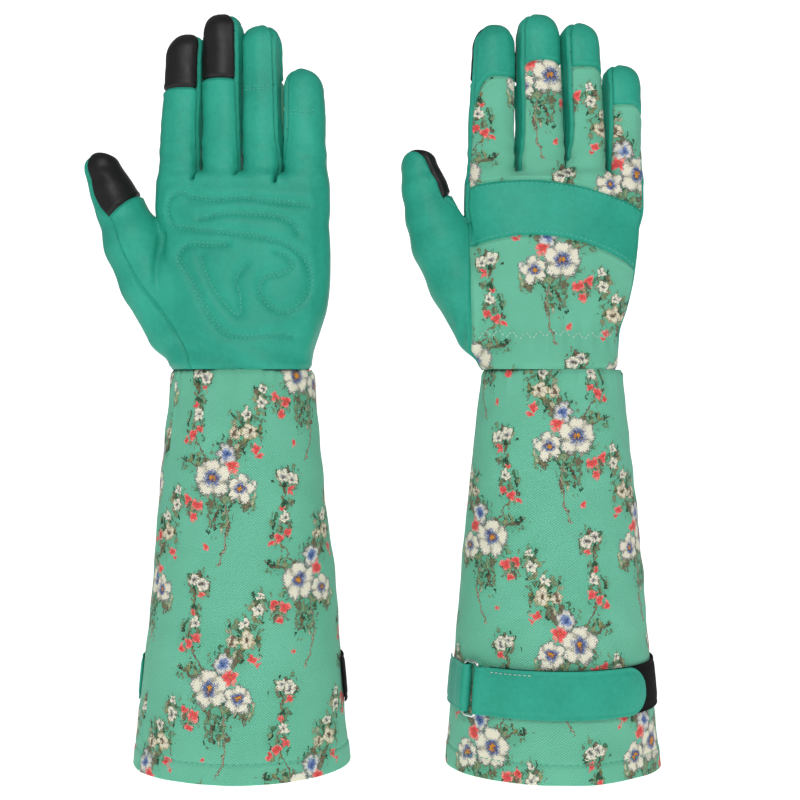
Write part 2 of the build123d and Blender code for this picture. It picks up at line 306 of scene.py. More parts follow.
def sampled_surface(field, low, high, step):
    """Points and triangles of the surface where the field is zero, from one sample per grid point."""
    axes = [np.arange(a, b + step, step) for a, b in zip(low, high)]
    shape = [len(a) for a in axes]
    grid = np.stack(np.meshgrid(*axes, indexing="ij"), axis=-1).reshape(-1, 3)
    parts = np.array_split(grid, 24)  # the field is sampled in parts, to save memory
    values = np.concatenate([field(part) for part in parts]).reshape(shape)
    inside = values < 0
    corners = [(i, j, k) for i in (0, 1) for j in (0, 1) for k in (0, 1)]

    def shifted(array, corner):
        return array[tuple(slice(c, s - 1 + c) for c, s in zip(corner, shape))]

    count = sum(shifted(inside, c).astype(np.int8) for c in corners)
    cells = np.argwhere((count > 0) & (count < 8))
    total, crossings = np.zeros((len(cells), 3)), np.zeros(len(cells))
    for a in corners:
        for axis in range(3):
            if a[axis]:
                continue
            b = tuple(1 if n == axis else v for n, v in enumerate(a))
            va = values[tuple((cells + a).T)]
            vb = values[tuple((cells + b).T)]
            hit = (va < 0) != (vb < 0)
            share = np.where(hit, va / np.where(hit, va - vb, 1.0), 0.0)
            point = np.array(a, float) + share[:, None] * (np.array(b, float) - a)
            total += point * hit[:, None]
            crossings += hit
    points = np.array(low) + (cells + total / crossings[:, None]) * step
    index = np.full([s - 1 for s in shape], -1, np.int64)
    index[tuple(cells.T)] = np.arange(len(cells))
    triangles = []
    for axis in range(3):
        u, v = (axis + 1) % 3, (axis + 2) % 3
        start = [slice(1, s - 1) for s in shape]
        start[axis] = slice(0, shape[axis] - 1)
        ahead = list(start)
        ahead[axis] = slice(1, shape[axis])
        change = inside[tuple(start)] != inside[tuple(ahead)]
        outwards = inside[tuple(start)][change]
        edge = np.argwhere(change) + [0 if n == axis else 1 for n in range(3)]
        quad = []
        for du, dv in ((-1, -1), (0, -1), (0, 0), (-1, 0)):
            cell = edge.copy()
            cell[:, u] += du
            cell[:, v] += dv
            quad.append(index[tuple(cell.T)])
        quad = np.column_stack(quad)
        quad[~outwards] = quad[~outwards][:, ::-1]
        triangles += [quad[:, (0, 1, 2)], quad[:, (0, 2, 3)]]
    return points, np.concatenate(triangles)


def gradient(field, p, step=0.05):
    """The field's slope at each point."""
    columns = []
    for axis in range(3):
        shift = np.zeros(3)
        shift[axis] = step
        columns.append((field(p + shift) - field(p - shift)) / (2 * step))
    return np.column_stack(columns)


def settled(field, p):
    """Points moved onto the surface where the field is zero."""
    for _ in range(2):
        slope = gradient(field, p)
        size = np.maximum((slope ** 2).sum(1), 0.05)
        p = p - slope * (field(p) / size)[:, None]
    return p


def cut_along(points, triangles, values, area):
    """Splits the triangles that the line of zero values crosses, inside an area given per point."""
    values = np.where(np.abs(values) < 1e-4, 1e-4, values)
    edges = np.sort(sides_of(triangles), axis=1)
    keys, which = np.unique(edges, axis=0, return_inverse=True)
    which = which.reshape(3, -1).T
    a, b = keys.T
    crossed = (values[a] * values[b] < 0) & area[a] & area[b]
    share = np.clip(values[a] / np.where(crossed, values[a] - values[b], 1.0), 0.02, 0.98)[crossed]
    added = points[a[crossed]] + share[:, None] * (points[b[crossed]] - points[a[crossed]])
    number = np.full(len(keys), -1)
    number[crossed] = len(points) + np.arange(crossed.sum())
    points = np.concatenate([points, added])
    cuts = number[which]
    how_many = (cuts >= 0).sum(1)
    made = [triangles[how_many == 0]]
    for turn in range(3):
        t = np.roll(triangles, -turn, axis=1)
        c = np.roll(cuts, -turn, axis=1)
        one = (how_many == 1) & (c[:, 0] >= 0)
        made.append(np.column_stack((t[one, 0], c[one, 0], t[one, 2])))
        made.append(np.column_stack((c[one, 0], t[one, 1], t[one, 2])))
        two = (how_many == 2) & (c[:, 0] >= 0) & (c[:, 2] >= 0)
        made.append(np.column_stack((t[two, 0], c[two, 0], c[two, 2])))
        made.append(np.column_stack((c[two, 0], t[two, 1], c[two, 2])))
        made.append(np.column_stack((t[two, 1], t[two, 2], c[two, 2])))
    return points, np.concatenate(made)


# Where the hand's sheet is cut into its sewn pieces. Each line is a field that is zero along it.


def arc_height(x, points):
    """The height of a shallow arc through three (x, z) points."""
    return np.polyval(np.polyfit(*np.array(points).T, 2), x)


def finger_of(glove, p):
    """Which finger each point belongs to, by the gaps between them."""
    return sum((glove.beyond_gap(gap, p) > 0).astype(int) for gap in range(3))


def finger_place(glove, p):
    """Per point: its finger, and its place across, front to back and below the tip, as the finger turns."""
    number = finger_of(glove, p)
    x, y, z = p.T
    centre = np.choose(number, [glove.finger_centre(n, z) for n in range(4)])
    roll = np.radians(FINGER_ROLL[glove.side])[number] * smoothstep(DIVIDE_Z + 4, DIVIDE_Z + 30, z)
    tip = np.array(glove.tip_z)[number]
    across = (x - centre) * np.cos(roll) - y * np.sin(roll)
    depth = (x - centre) * np.sin(roll) + y * np.cos(roll)
    return number, across, depth, tip - z


def sidewall_half(below_tip):
    """Half the depth of the strip between the fingers, which narrows to nothing at the tip."""
    above = np.clip(1 - below_tip / FINGER_DOME, 0, 1)
    return SIDEWALL_HALF * np.sqrt(1 - above ** 2)


def is_inner_side(number, across):
    """Whether a point faces a neighbouring finger."""
    return ((number > 0) | (across > 0)) & ((number < 3) | (across < 0))


def cap_line(number, across, below_tip):
    """Positive on the finger's cap, whose lower edge falls towards the sides."""
    drops = np.array(CAP_DROP)[number]
    side = np.abs(across) / FINGER_TIP_HALF
    drop = np.where(across < 0, drops[:, 0], drops[:, 1]) * np.clip(side, 0, 1) ** 3
    return np.array(CAP_LENGTH)[number] + drop - below_tip


def touch_line(number, depth, below_tip):
    """Positive on the touch-screen tip of the index and middle fingers."""
    return np.minimum(np.array(TOUCH_LENGTH)[number] - below_tip, 1.5 - depth)


# The seam between palm and thumb leather on the palm side, as z and x
THUMB_SEAM = ((200.0, -22.0), (227.0, -33.0), (241.0, -43.0), (255.0, -54.0),
              (288.0, -68.5), (310.0, -78.0), (330.0, -80.0))


def thumb_seam_field(glove, p):
    """Negative on the leather that wraps the thumb's outer side and back."""
    x, y, z = p.T
    front = curve_through(z, THUMB_SEAM)
    low = x - (front + (BACK_EDGE_X - front) * smoothstep(-2.0, 6.0, y))
    across, depth, _ = glove.thumb_place(p)
    high = across * math.sin(THUMB_PATCH_ROLL) - depth * math.cos(THUMB_PATCH_ROLL) + 1.0
    share = smoothstep(284.0, 300.0, z)
    return low * (1 - share) + high * share


def thumb_touch_field(glove, p):
    """Positive on the thumb's touch-screen tip, whose edge slants across the pad."""
    across, _, along = glove.thumb_place(p)
    return along - (THUMB_TOUCH_START + THUMB_TOUCH_SLANT * (across + 5.0))


def back_field(p):
    """Positive on the hand's cloth back and knuckle band."""
    x, y, z = p.T
    at_thumb = smoothstep(-10.0, -25.0, x) * smoothstep(288.0, 280.0, z)
    return y - BACK_SEAM_Y * (1 - at_thumb)


def thumb_zone_field(p):
    """Negative on the thumb's side of the fork between the thumb and the palm."""
    x, _, z = p.T
    return x - THUMB_FORK_X + 0.25 * np.maximum(z - THUMB_FORK_Z, 0)


def cut_into_pieces(glove, points, triangles):
    """Cuts the hand along every seam and division, and returns the piece's name for each triangle."""

    def cut(field, area):
        nonlocal points, triangles
        points, triangles = cut_along(points, triangles, field(points), area(points))

    def hand_zone(p):
        return (p[:, 2] < DIVIDE_Z + 3) & (thumb_zone_field(p) > -3)

    def thumb_side(p):
        return (p[:, 0] < -10) & (p[:, 2] < glove.thumb_tip + 5) & (thumb_zone_field(p) < 26)

    cut(lambda p: p[:, 2] - glove.cuff_top, lambda p: p[:, 2] < glove.cuff_top + 9)
    triangles = triangles[points[triangles].mean(1)[:, 2] > glove.cuff_top]
    cut(lambda p: p[:, 2] - DIVIDE_Z, lambda p: (np.abs(p[:, 2] - DIVIDE_Z) < 6) & (thumb_zone_field(p) > 0))
    cut(back_field, lambda p: hand_zone(p) & (p[:, 2] < DIVIDE_Z))
    cut(lambda p: thumb_seam_field(glove, p), thumb_side)
    for edge in (BAND_TOP, BAND_BOTTOM):
        cut(lambda p: p[:, 2] - arc_height(p[:, 0], edge), lambda p: (p[:, 1] > 0) & hand_zone(p))
    cut(thumb_zone_field, lambda p: (np.abs(p[:, 2] - 283) < 12) & thumb_side(p))
    cut(lambda p: glove.thumb_place(p)[2] - THUMB_DIVIDE,
        lambda p: (p[:, 2] > 240) & (thumb_zone_field(p) < 6))
    cut(lambda p: thumb_touch_field(glove, p), lambda p: (p[:, 2] > 280) & (thumb_zone_field(p) < 0))

    def fingers_only(p):
        return (p[:, 2] > DIVIDE_Z - 4) & (thumb_zone_field(p) > 0)

    def depth_field(sign):
        def field(p):
            _, _, depth, below = finger_place(glove, p)
            return depth + sign * sidewall_half(below)
        return field

    def inner(p):
        number, across, _, _ = finger_place(glove, p)
        return fingers_only(p) & is_inner_side(number, across)

    cut(depth_field(1), inner)
    cut(depth_field(-1), fingers_only)
    for gap in range(3):
        cut(lambda p: glove.beyond_gap(gap, p),
            lambda p: fingers_only(p) & (p[:, 2] < CROTCH_Z[glove.side][gap] + 4))

    def on_back(p):
        return fingers_only(p) & (finger_place(glove, p)[2] > -1)

    def on_front(p):
        return fingers_only(p) & (finger_place(glove, p)[2] < 6)

    cut(lambda p: cap_line(*[finger_place(glove, p)[i] for i in (0, 1, 3)]), on_back)
    cut(lambda p: touch_line(*[finger_place(glove, p)[i] for i in (0, 2, 3)]), on_front)
    return points, triangles, piece_of(glove, points[triangles].mean(1))


def piece_of(glove, p):
    """The name of the sewn piece that each point lies on."""
    x, _, z = p.T
    names = np.full(len(p), "palm", dtype=object)
    number, across, depth, below = finger_place(glove, p)
    half = sidewall_half(below)
    inner = is_inner_side(number, across)
    on_thumb_side = thumb_zone_field(p) < 0
    outer_thumb = (thumb_seam_field(glove, p) < 0) & ((z < 288) | on_thumb_side)
    along = glove.thumb_place(p)[2]
    back = (back_field(p) > 0) & ~outer_thumb
    band = back & (z < arc_height(x, BAND_TOP)) & (z > arc_height(x, BAND_BOTTOM))
    names[back] = "back_upper"
    names[back & (z < arc_height(x, BAND_BOTTOM))] = "back_lower"
    names[band] = "knuckle_band"
    names[outer_thumb] = "thumb_base"
    thumb = on_thumb_side & (along > THUMB_DIVIDE)
    names[thumb] = "thumb_front"
    names[thumb & (thumb_touch_field(glove, p) > 0)] = "thumb_touch_tip"
    names[thumb & outer_thumb] = "thumb_leather"
    on_finger = ~on_thumb_side & (z > DIVIDE_Z)
    strip = ~on_thumb_side & (z > DIVIDE_Z - 4) & inner & (np.abs(depth) < half)
    for n, finger in enumerate(FINGERS):
        mine = on_finger & (number == n)
        behind = depth > half
        front = mine & ~behind & ~strip
        names[front] = f"{finger}_front"
        names[front & (touch_line(number, depth, below) > 0)] = f"{finger}_touch_tip"
        names[mine & behind] = f"{finger}_back"
        names[mine & behind & (cap_line(number, across, below) > 0)] = f"{finger}_cap"
        names[strip & (number == n)] = f"{finger}_sidewall"
    return names


def seam_group(name):
    """Pieces with the same group run on into each other with no seam."""
    if name.endswith("_front") or name == "palm":
        return "palm"
    if name.endswith("_sidewall"):
        return "sidewall"
    if name in ("thumb_base", "thumb_leather"):
        return "thumb"
    if name.endswith("_back") or name == "back_upper":
        return "back_upper"
    return name


def edge_distance(points, triangles, groups, reach):
    """Each point's distance to the nearest seam, up to a reach."""
    edges = np.sort(sides_of(triangles), axis=1)
    owner = np.tile(groups, 3)
    order = np.lexsort((edges[:, 1], edges[:, 0]))
    edges, owner = edges[order], owner[order]
    same = (edges[1:] == edges[:-1]).all(1) & (owner[1:] != owner[:-1])
    seam = edges[1:][same]
    tree = KDTree(len(seam) * 3)
    ends = points[seam]
    for n, share in enumerate((0.0, 0.33, 0.67)):
        for i, place in enumerate(ends[:, 0] * (1 - share) + ends[:, 1] * share):
            tree.insert(place, n * len(seam) + i)
    tree.balance()
    distance = np.full(len(points), reach)
    for i, place in enumerate(points):
        distance[i] = min(tree.find(place)[2], reach)
    return distance


def vertex_normals(points, triangles):
    """Smooth normals of a mesh."""
    a, b, c = points[triangles].transpose(1, 0, 2)
    face = np.cross(b - a, c - a)
    normals = np.zeros_like(points)
    for corner in range(3):
        np.add.at(normals, triangles[:, corner], face)
    return unit(normals)


# Relief on the palm: the sunk lines of its quilting, in x and z

PAD_LINES = (
    ((36.0, 294.5), (14.0, 296.5), (2.0, 298.0), (-11.0, 297.0), (-24.0, 298.5), (-33.0, 301.0),
     (-38.0, 296.5), (-38.5, 290.0), (-36.0, 284.5), (-26.0, 282.0), (-6.0, 279.5), (14.0, 276.5),
     (25.0, 273.0), (33.0, 267.0), (37.0, 258.0), (36.5, 249.0), (31.0, 241.0), (23.0, 238.0),
     (15.5, 242.0), (11.0, 249.0), (13.5, 256.0), (22.0, 258.0), (27.0, 262.0), (25.5, 267.0),
     (20.0, 269.0)),
    ((-20.0, 287.0), (-8.0, 289.5), (10.0, 289.0), (22.0, 287.5), (28.0, 284.0), (30.0, 280.0)),
    ((-6.0, 273.5), (-16.0, 273.0), (-27.0, 273.0), (-32.0, 268.0), (-27.0, 258.0), (-20.0, 246.0),
     (-14.0, 235.0), (-7.0, 227.5), (4.0, 224.5), (16.0, 225.5), (28.0, 225.0)),
    ((-20.0, 267.0), (-16.0, 256.0), (-9.0, 244.5), (0.5, 236.0), (1.0, 246.0), (-1.0, 255.0), (3.5, 262.0)),
)
THUMB_CREASE = ((-41.5, 279.0), (-43.5, 262.0), (-43.0, 247.0))
CROSS_SEAM_Z = {"ring": 357.0, "little": 344.0}


def line_distance(p, line):
    """Distance in the XZ plane from points to a line."""
    best = np.full(len(p), 1e3)
    q = p[:, (0, 2)]
    for a, b in zip(line, line[1:]):
        run = b - a
        t = np.clip((q - a) @ run / (run @ run), 0, 1)
        best = np.minimum(best, np.linalg.norm(q - a - t[:, None] * run, axis=1))
    return best


def palm_relief(p, palm_side):
    """The padded palm: low pads between sunk double lines, and the fold below the thumb."""
    x, _, z = p.T
    padded = smoothstep(-43, -36, x) * smoothstep(42, 36, x)
    padded = padded * smoothstep(216, 228, z) * smoothstep(308, 299, z)
    near = (padded > 0) & (palm_side > 0)
    distance = np.full(len(p), 1e3)
    for line in PAD_LINES:
        distance[near] = np.minimum(distance[near], line_distance(p[near], path_through(line, 2.0)))
    pads = 1.15 * (1 - np.exp(-((distance / 2.8) ** 2))) - 0.5 * np.exp(-((distance / 1.0) ** 2))
    crease = line_distance(p, path_through(THUMB_CREASE, 3.0))
    fold = 1.9 * np.exp(-((crease / 2.0) ** 2)) * smoothstep(246, 262, z)
    drag = np.sin((x * 0.35 + z * 0.9) * 0.42 + 1.2) * smoothstep(230, 216, z)
    return palm_side * (pads * padded - fold + 0.5 * drag)


def relief(glove, p, normals):
    """How far the finished leather and cloth stand out from the plain form."""
    x, _, z = p.T
    height = palm_relief(p, smoothstep(0.15, 0.5, -normals[:, 1]))
    height += 0.45 * ripple(p, 26.0, 3) * smoothstep(212, 225, z)
    at_roots = 0.3 * smoothstep(300, 312, z) * smoothstep(345, 322, z)
    height += at_roots * ripple(p * (1.0, 1.0, 1.6), 11.0, 8)
    height += 0.2 * smoothstep(320, 330, z) * ripple(p, 8.0, 5)
    on_back = smoothstep(0.1, 0.5, normals[:, 1])
    gathers = np.sin(x * 0.82 + 0.6 * np.sin(x * 0.23) + 0.05 * (z - ELASTIC_Z) * np.sin(x * 0.5))
    height += on_back * np.exp(-(((z - ELASTIC_Z) / 7.5) ** 2)) * (0.6 * gathers - 0.7)
    height -= 1.3 * np.exp(-(((z - glove.cuff_top) / 1.6) ** 2))
    return height


def seam_groove(distance):
    """The valley where two pieces are sewn together and turned."""
    return -1.2 * np.exp(-((distance / 0.9) ** 2)) + 0.25 * np.exp(-(((distance - 1.9) / 1.0) ** 2))


def make_mesh(glove, name, points, faces, normals=None, uv=None):
    """A Blender object in the row frame, from points in the glove's own millimetres."""
    mesh = bpy.data.meshes.new(glove.name(name))
    faces = np.asarray(faces)
    if glove.turn < 0:
        faces = faces[:, ::-1]
    mesh.from_pydata(glove.world(points).tolist(), [], faces.tolist())
    mesh.polygons.foreach_set("use_smooth", np.ones(len(mesh.polygons), bool))
    corner = np.zeros(len(mesh.loops), np.int64)
    mesh.loops.foreach_get("vertex_index", corner)
    if uv is not None:
        layer = mesh.uv_layers.new(name="print")
        layer.data.foreach_set("uv", np.asarray(uv, np.float32)[corner].ravel())
    mesh.update()
    if normals is not None:
        mesh.normals_split_custom_set((np.asarray(normals) * (1, glove.turn, 1)).tolist())
    piece = bpy.data.objects.new(glove.name(name), mesh)
    bpy.context.scene.collection.objects.link(piece)
    return piece


def sheet_piece(glove, name, points, triangles, normals, uv):
    """A sewn piece: its outer face, its inner face and the rim between, closed all round."""
    used, local = np.unique(triangles, return_inverse=True)
    outer = local.reshape(-1, 3)
    count = len(used)
    edges = sides_of(outer)
    _, first, uses = np.unique(np.sort(edges, axis=1), axis=0, return_index=True, return_counts=True)
    rim = edges[first[uses == 1]]
    top = points[used]
    bottom = top - normals[used] * LEATHER
    inner = outer[:, ::-1] + count
    rim_faces = np.concatenate([
        np.column_stack((rim[:, 1], rim[:, 0], rim[:, 0] + count)),
        np.column_stack((rim[:, 1], rim[:, 0] + count, rim[:, 1] + count)),
    ])
    faces = np.concatenate([outer, inner, rim_faces])
    all_points = np.concatenate([top, bottom])
    a, b, c = all_points[rim_faces].transpose(1, 0, 2)
    flat = unit(np.cross(b - a, c - a))[:, None].repeat(3, 1)
    corner_normals = np.concatenate([normals[used][outer], -normals[used][inner - count], flat])
    if glove.turn < 0:
        corner_normals = corner_normals[:, ::-1]
    return make_mesh(glove, name, all_points, faces, corner_normals.reshape(-1, 3), np.tile(uv[used], (2, 1)))


# Where a bouquet of the print falls on each part of the cloth, as x and z. The right glove's print
# is mirrored.
HAND_BOUQUET = (2.6, 264.6)
KNUCKLE_BOUQUET = (-2.6, 363.0)
CUFF_BOUQUET = {"left": (-11.5, 151.9), "right": (8.9, 173.3)}


def print_place(glove, across, z, bouquet):
    """A place on the printed cloth, in metres from the middle of a bouquet."""
    return np.column_stack(((across - bouquet[0]) * glove.turn, z - bouquet[1])) / 1000


def hand_print(glove, p):
    """Places on the print: one cut of cloth lies below the knuckle band and another above it."""
    x, _, z = p.T
    above_band = z > (arc_height(x, BAND_TOP) + arc_height(x, BAND_BOTTOM)) / 2
    upper, lower = [print_place(glove, x, z, bouquet) for bouquet in (KNUCKLE_BOUQUET, HAND_BOUQUET)]
    return np.where(above_band[:, None], upper, lower)


def make_hand(glove):
    """The hand's sewn pieces by name, and a tree for finding places on its surface."""
    low = (-90.0, -28.0, glove.cuff_top - 6.0)
    high = (54.0, 28.0, max(glove.tip_z) + 3.0)

    def field(p):
        return hand_field(glove, p)

    points, triangles = sampled_surface(field, low, high, GRID_STEP)
    points = settled(field, points)
    points, triangles, names = cut_into_pieces(glove, points, triangles)
    _, codes = np.unique([seam_group(n) for n in names], return_inverse=True)
    distance = edge_distance(points, triangles, codes, 6.0)
    normals = vertex_normals(points, triangles)
    height = relief(glove, points, normals) + seam_groove(distance)
    uv = hand_print(glove, points)
    points = points + normals * height[:, None]
    normals = vertex_normals(points, triangles)
    tree = BVHTree.FromPolygons(points.tolist(), triangles.tolist())
    pieces = {}
    for name in sorted(set(names)):
        pieces[name] = sheet_piece(glove, f"{name}_sewn", points, triangles[names == name], normals, uv)
    return pieces, tree


# The cuff, its strap and its stitches


class CuffForm:
    """Places on the cuff's cone: s is the distance round it from the ring, in the strap's direction."""

    def __init__(self, glove):
        self.glove = glove
        bars = [glove.local(joint(glove.name(n))["pos_m"]) for n in ("strap_peel", "buckle_swing")]
        self.strap_z = bars[0][2]
        ring = (np.array(bars[0]) + np.array(bars[1])) / 2
        half = self.half(self.strap_z)
        start = math.atan2(ring[1] / half[1], ring[0] / half[0])
        self.angles = start + np.linspace(math.pi, -2 * math.pi, 2401)
        x, y = half[0] * np.cos(self.angles), half[1] * np.sin(self.angles)
        run = np.concatenate(([0.0], np.cumsum(np.hypot(np.diff(x), np.diff(y)))))
        self.lengths = run - np.interp(-start, -self.angles, run)

    def half(self, z):
        """Half width and half depth at a height."""
        share = z / self.glove.cuff_top
        return [h + (t - h) * share for h, t in zip(self.glove.hem_half, self.glove.top_half)]

    def s_at_angle(self, angle):
        """Distance round from the ring at an angle of the ellipse."""
        return float(np.interp(-angle, -self.angles, self.lengths))

    def s_at_x(self, x):
        """Distance round from the ring to a place across the back."""
        return self.s_at_angle(math.acos(x / self.half(self.strap_z)[0]))

    def place(self, s, z, lift):
        """The point at s round, z high and lifted off the cone."""
        angle = np.interp(s, self.lengths, self.angles)
        half_x, half_y = self.half(z)
        x, y = half_x * np.cos(angle), half_y * np.sin(angle)
        normal = unit(np.column_stack((np.cos(angle) / half_x, np.sin(angle) / half_y)))
        return np.column_stack((x + normal[:, 0] * lift, y + normal[:, 1] * lift, z))


def cuff_surface(glove, form, angle, z):
    """The cuff's finished outer surface: soft folds, gathers under the wrist seam, side seam and hem."""
    half_x, half_y = form.half(z)
    flat = np.column_stack((half_x * np.cos(angle), half_y * np.sin(angle), z))
    seed = 21 if glove.side == "left" else 34
    height = 0.9 * ripple(flat * (1.0, 1.0, 0.45), 46.0, seed) + 0.35 * ripple(flat, 17.0, seed + 1)
    below_seam = glove.cuff_top - z
    gathers = np.sin(angle * 23 + 1.3 * np.sin(angle * 5)) + 0.6 * np.sin(angle * 41 + 2.0)
    height += 0.4 * gathers * np.exp(-below_seam / 9.0) - 1.4 * np.exp(-((below_seam / 1.5) ** 2))
    beside = ((angle - SIDE_SEAM + math.pi) % (2 * math.pi) - math.pi) * half_x
    height += -1.1 * np.exp(-((beside / 0.8) ** 2)) + 0.45 * np.exp(-(((beside - 2.4) / 1.6) ** 2))
    height += 0.35 * smoothstep(HEM_STITCH_Z + 0.6, HEM_STITCH_Z - 0.8, z)
    height -= 0.45 * np.exp(-(((z - HEM_STITCH_Z) / 0.9) ** 2))
    height *= 1 - 0.75 * np.exp(-((np.abs(z - form.strap_z) / (STRAP_HEIGHT * 0.62)) ** 6))
    normal = unit(np.column_stack((np.cos(angle) / half_x, np.sin(angle) / half_y, 0 * z)))
    return flat + normal * (height - 0.3)[:, None], normal


def grid_faces(rows, columns, closed):
    """Quads over a grid of points, which may close on itself along its columns."""
    r, c = np.meshgrid(np.arange(rows - 1), np.arange(columns if closed else columns - 1), indexing="ij")
    after = (c + 1) % columns
    here, beyond = r * columns, (r + 1) * columns
    return np.stack((here + c, here + after, beyond + after, beyond + c), axis=-1).reshape(-1, 4)


def make_cuff(glove, form):
    """The printed cuff: one tube of cloth with a side seam and a turned-in hem."""
    columns, rows = ((361, 220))
    angles = SIDE_SEAM - 2 * math.pi + np.linspace(0, 2 * math.pi, columns)
    hem_rows = rows // 8
    above_hem = np.linspace(15.0, glove.cuff_top, rows - hem_rows)
    heights = np.concatenate((np.linspace(0.3, 14.0, hem_rows), above_hem))
    angle, z = [g.ravel() for g in np.meshgrid(angles, heights)]
    outer, normal = cuff_surface(glove, form, angle, z)
    thickness = LEATHER + 0.7 * smoothstep(HEM_STITCH_Z + 1, HEM_STITCH_Z - 1, z)
    inner = outer - normal * thickness[:, None]
    facing = -math.pi / 2 if glove.side == "left" else math.pi / 2
    table_angle = np.linspace(-2 * math.pi, 2 * math.pi, 1601)
    half_x, half_y = form.half(100.0)
    speed = np.hypot(half_x * np.sin(table_angle), half_y * np.cos(table_angle))
    table_length = np.cumsum(speed * (table_angle[1] - table_angle[0]))
    around = np.interp(angle, table_angle, table_length) - np.interp(facing, table_angle, table_length)
    across = around * form.half(z)[0] / half_x * glove.turn
    uv = print_place(glove, across, z, CUFF_BOUQUET[glove.side])
    count = len(outer)
    outside = grid_faces(len(heights), columns, False)
    inside = outside[:, ::-1] + count
    hem = np.arange(columns - 1)
    bottom = np.column_stack((hem + 1, hem, hem + count, hem + 1 + count))
    last = (len(heights) - 1) * columns
    top = np.column_stack((last + hem, last + hem + 1, last + hem + 1 + count, last + hem + count))
    faces = np.concatenate([outside, inside, bottom, top])
    piece = make_mesh(glove, "cuff", np.concatenate([outer, inner]), faces, uv=np.tile(uv, (2, 1)))
    mesh = bmesh_of(piece)
    bmesh.ops.remove_doubles(mesh, verts=mesh.verts, dist=1e-6)  # closes the tube along its side seam
    mesh.to_mesh(piece.data)
    mesh.free()
    is_lining = np.zeros(len(piece.data.polygons), np.int32)
    is_lining[len(outside):len(outside) * 2] = 1
    piece.data.polygons.foreach_set("material_index", is_lining)
    return piece


def bmesh_of(piece):
    """A piece's mesh, opened for editing."""
    mesh = bmesh.new()
    mesh.from_mesh(piece.data)
    return mesh


def make_band(glove, form, name, path, thickness, end_radius=0.0):
    """A strap along a path given as (s, lift) rows, with soft edges and an end that may be round."""
    line = path_through(path, 0.8)
    along = distance_along(line)
    steps = np.concatenate((np.array([0.0, 0.05, 0.2, 0.45]), np.arange(0.8, along[-1], 0.8)))
    stations = np.unique(np.concatenate((steps, along[-1] - steps)))
    s, lift = [np.interp(stations, along, line[:, c]) for c in (0, 1)]
    ds, dl = [np.gradient(v, stations) for v in (s, lift)]
    size = np.hypot(ds, dl)
    remaining = np.minimum(along[-1] - stations, end_radius) if end_radius else np.ones_like(stations)
    width = STRAP_HEIGHT / 2 * (np.sqrt(1 - (1 - remaining / end_radius) ** 2) if end_radius else 1.0)
    width = np.maximum(np.broadcast_to(width, s.shape), 0.4)
    to_end = np.maximum(np.minimum(stations, along[-1] - stations), 0)
    taper = np.minimum(1, np.sqrt(to_end / (thickness / 2) + 0.02))
    ring = np.linspace(0, 2 * math.pi, 41)[:-1]
    v = np.sign(np.cos(ring)) * np.abs(np.cos(ring)) ** 0.25
    h = np.sign(np.sin(ring)) * np.abs(np.sin(ring)) ** 0.55
    points = []
    for i in range(len(stations)):
        edge = 0.35 * np.exp(-(((np.abs(v) * width[i] - width[i] + 2.0) / 1.0) ** 2))
        out = h * thickness / 2 * taper[i] * (1 + 0.25 * (1 - v ** 2)) - np.sign(h) * edge * taper[i]
        here_s = s[i] - dl[i] / size[i] * out
        here_lift = lift[i] + ds[i] / size[i] * out
        points.append(form.place(here_s, form.strap_z + v * width[i], here_lift))
    points = np.concatenate(points)
    faces = grid_faces(len(stations), len(ring), True)[:, ::-1]
    first, last = np.arange(len(ring)), np.arange(len(ring)) + (len(stations) - 1) * len(ring)
    caps = [first.tolist(), last[::-1].tolist()]
    piece = make_mesh(glove, name, points, faces)
    mesh = bmesh_of(piece)
    mesh.verts.ensure_lookup_table()
    for cap in caps:
        mesh.faces.new([mesh.verts[i] for i in cap])
    bmesh.ops.recalc_face_normals(mesh, faces=mesh.faces)
    mesh.to_mesh(piece.data)
    mesh.free()
    return piece


def make_stitches(glove, name, starts, ends, outwards, radius=0.24):
    """A row of stitches: threads that rise out of the cloth at one end and dive in at the other."""
    sides, rings = 6, 5
    points, faces = [], []
    for a, b, n in zip(starts, ends, outwards):
        run = b - a
        across = np.cross(run, n)
        across /= np.linalg.norm(across)
        base = len(points)
        for r in range(rings):
            share = r / (rings - 1)
            swell = math.sqrt(max(1 - (2 * share - 1) ** 4, 0.05))
            centre = a + run * share + n * (0.34 * math.sin(math.pi * share) - 0.16)
            for k in range(sides):
                turn = 2 * math.pi * k / sides
                points.append(centre + (across * math.cos(turn) + n * math.sin(turn)) * radius * swell)
        faces += (grid_faces(rings, sides, True) + base).tolist()
    return make_mesh(glove, name, np.array(points), faces)


def rows_beside(path, offset):
    """A line drawn beside another in the XZ plane."""
    run = unit(np.gradient(path, axis=0))
    return path + np.column_stack((-run[:, 1], run[:, 0])) * offset


def stitches_on(glove, tree, name, lines, direction, pitch=2.3, length=1.4, radius=0.24):
    """Stitches laid on the hand along lines in the XZ plane, seen from one side."""
    starts, ends, outwards = [], [], []
    for line in lines:
        fine = path_through(line, 0.4)
        along = distance_along(fine)
        for at in np.arange(0.5, along[-1] - length, pitch):
            pair = []
            for spot in (at, at + length):
                x, z = [np.interp(spot, along, fine[:, c]) for c in (0, 1)]
                eye = Vector((x, -60.0 * direction, z))
                hit, normal, _, _ = tree.ray_cast(eye, Vector((0, direction, 0)))
                if hit is not None:
                    pair.append((np.array(hit), np.array(normal)))
            if len(pair) == 2 and np.linalg.norm(pair[0][0] - pair[1][0]) < length * 1.6:
                starts.append(pair[0][0])
                ends.append(pair[1][0])
                outwards.append(pair[0][1] if pair[0][1][1] * direction < 0 else -pair[0][1])
    return make_stitches(glove, name, starts, ends, outwards, radius)


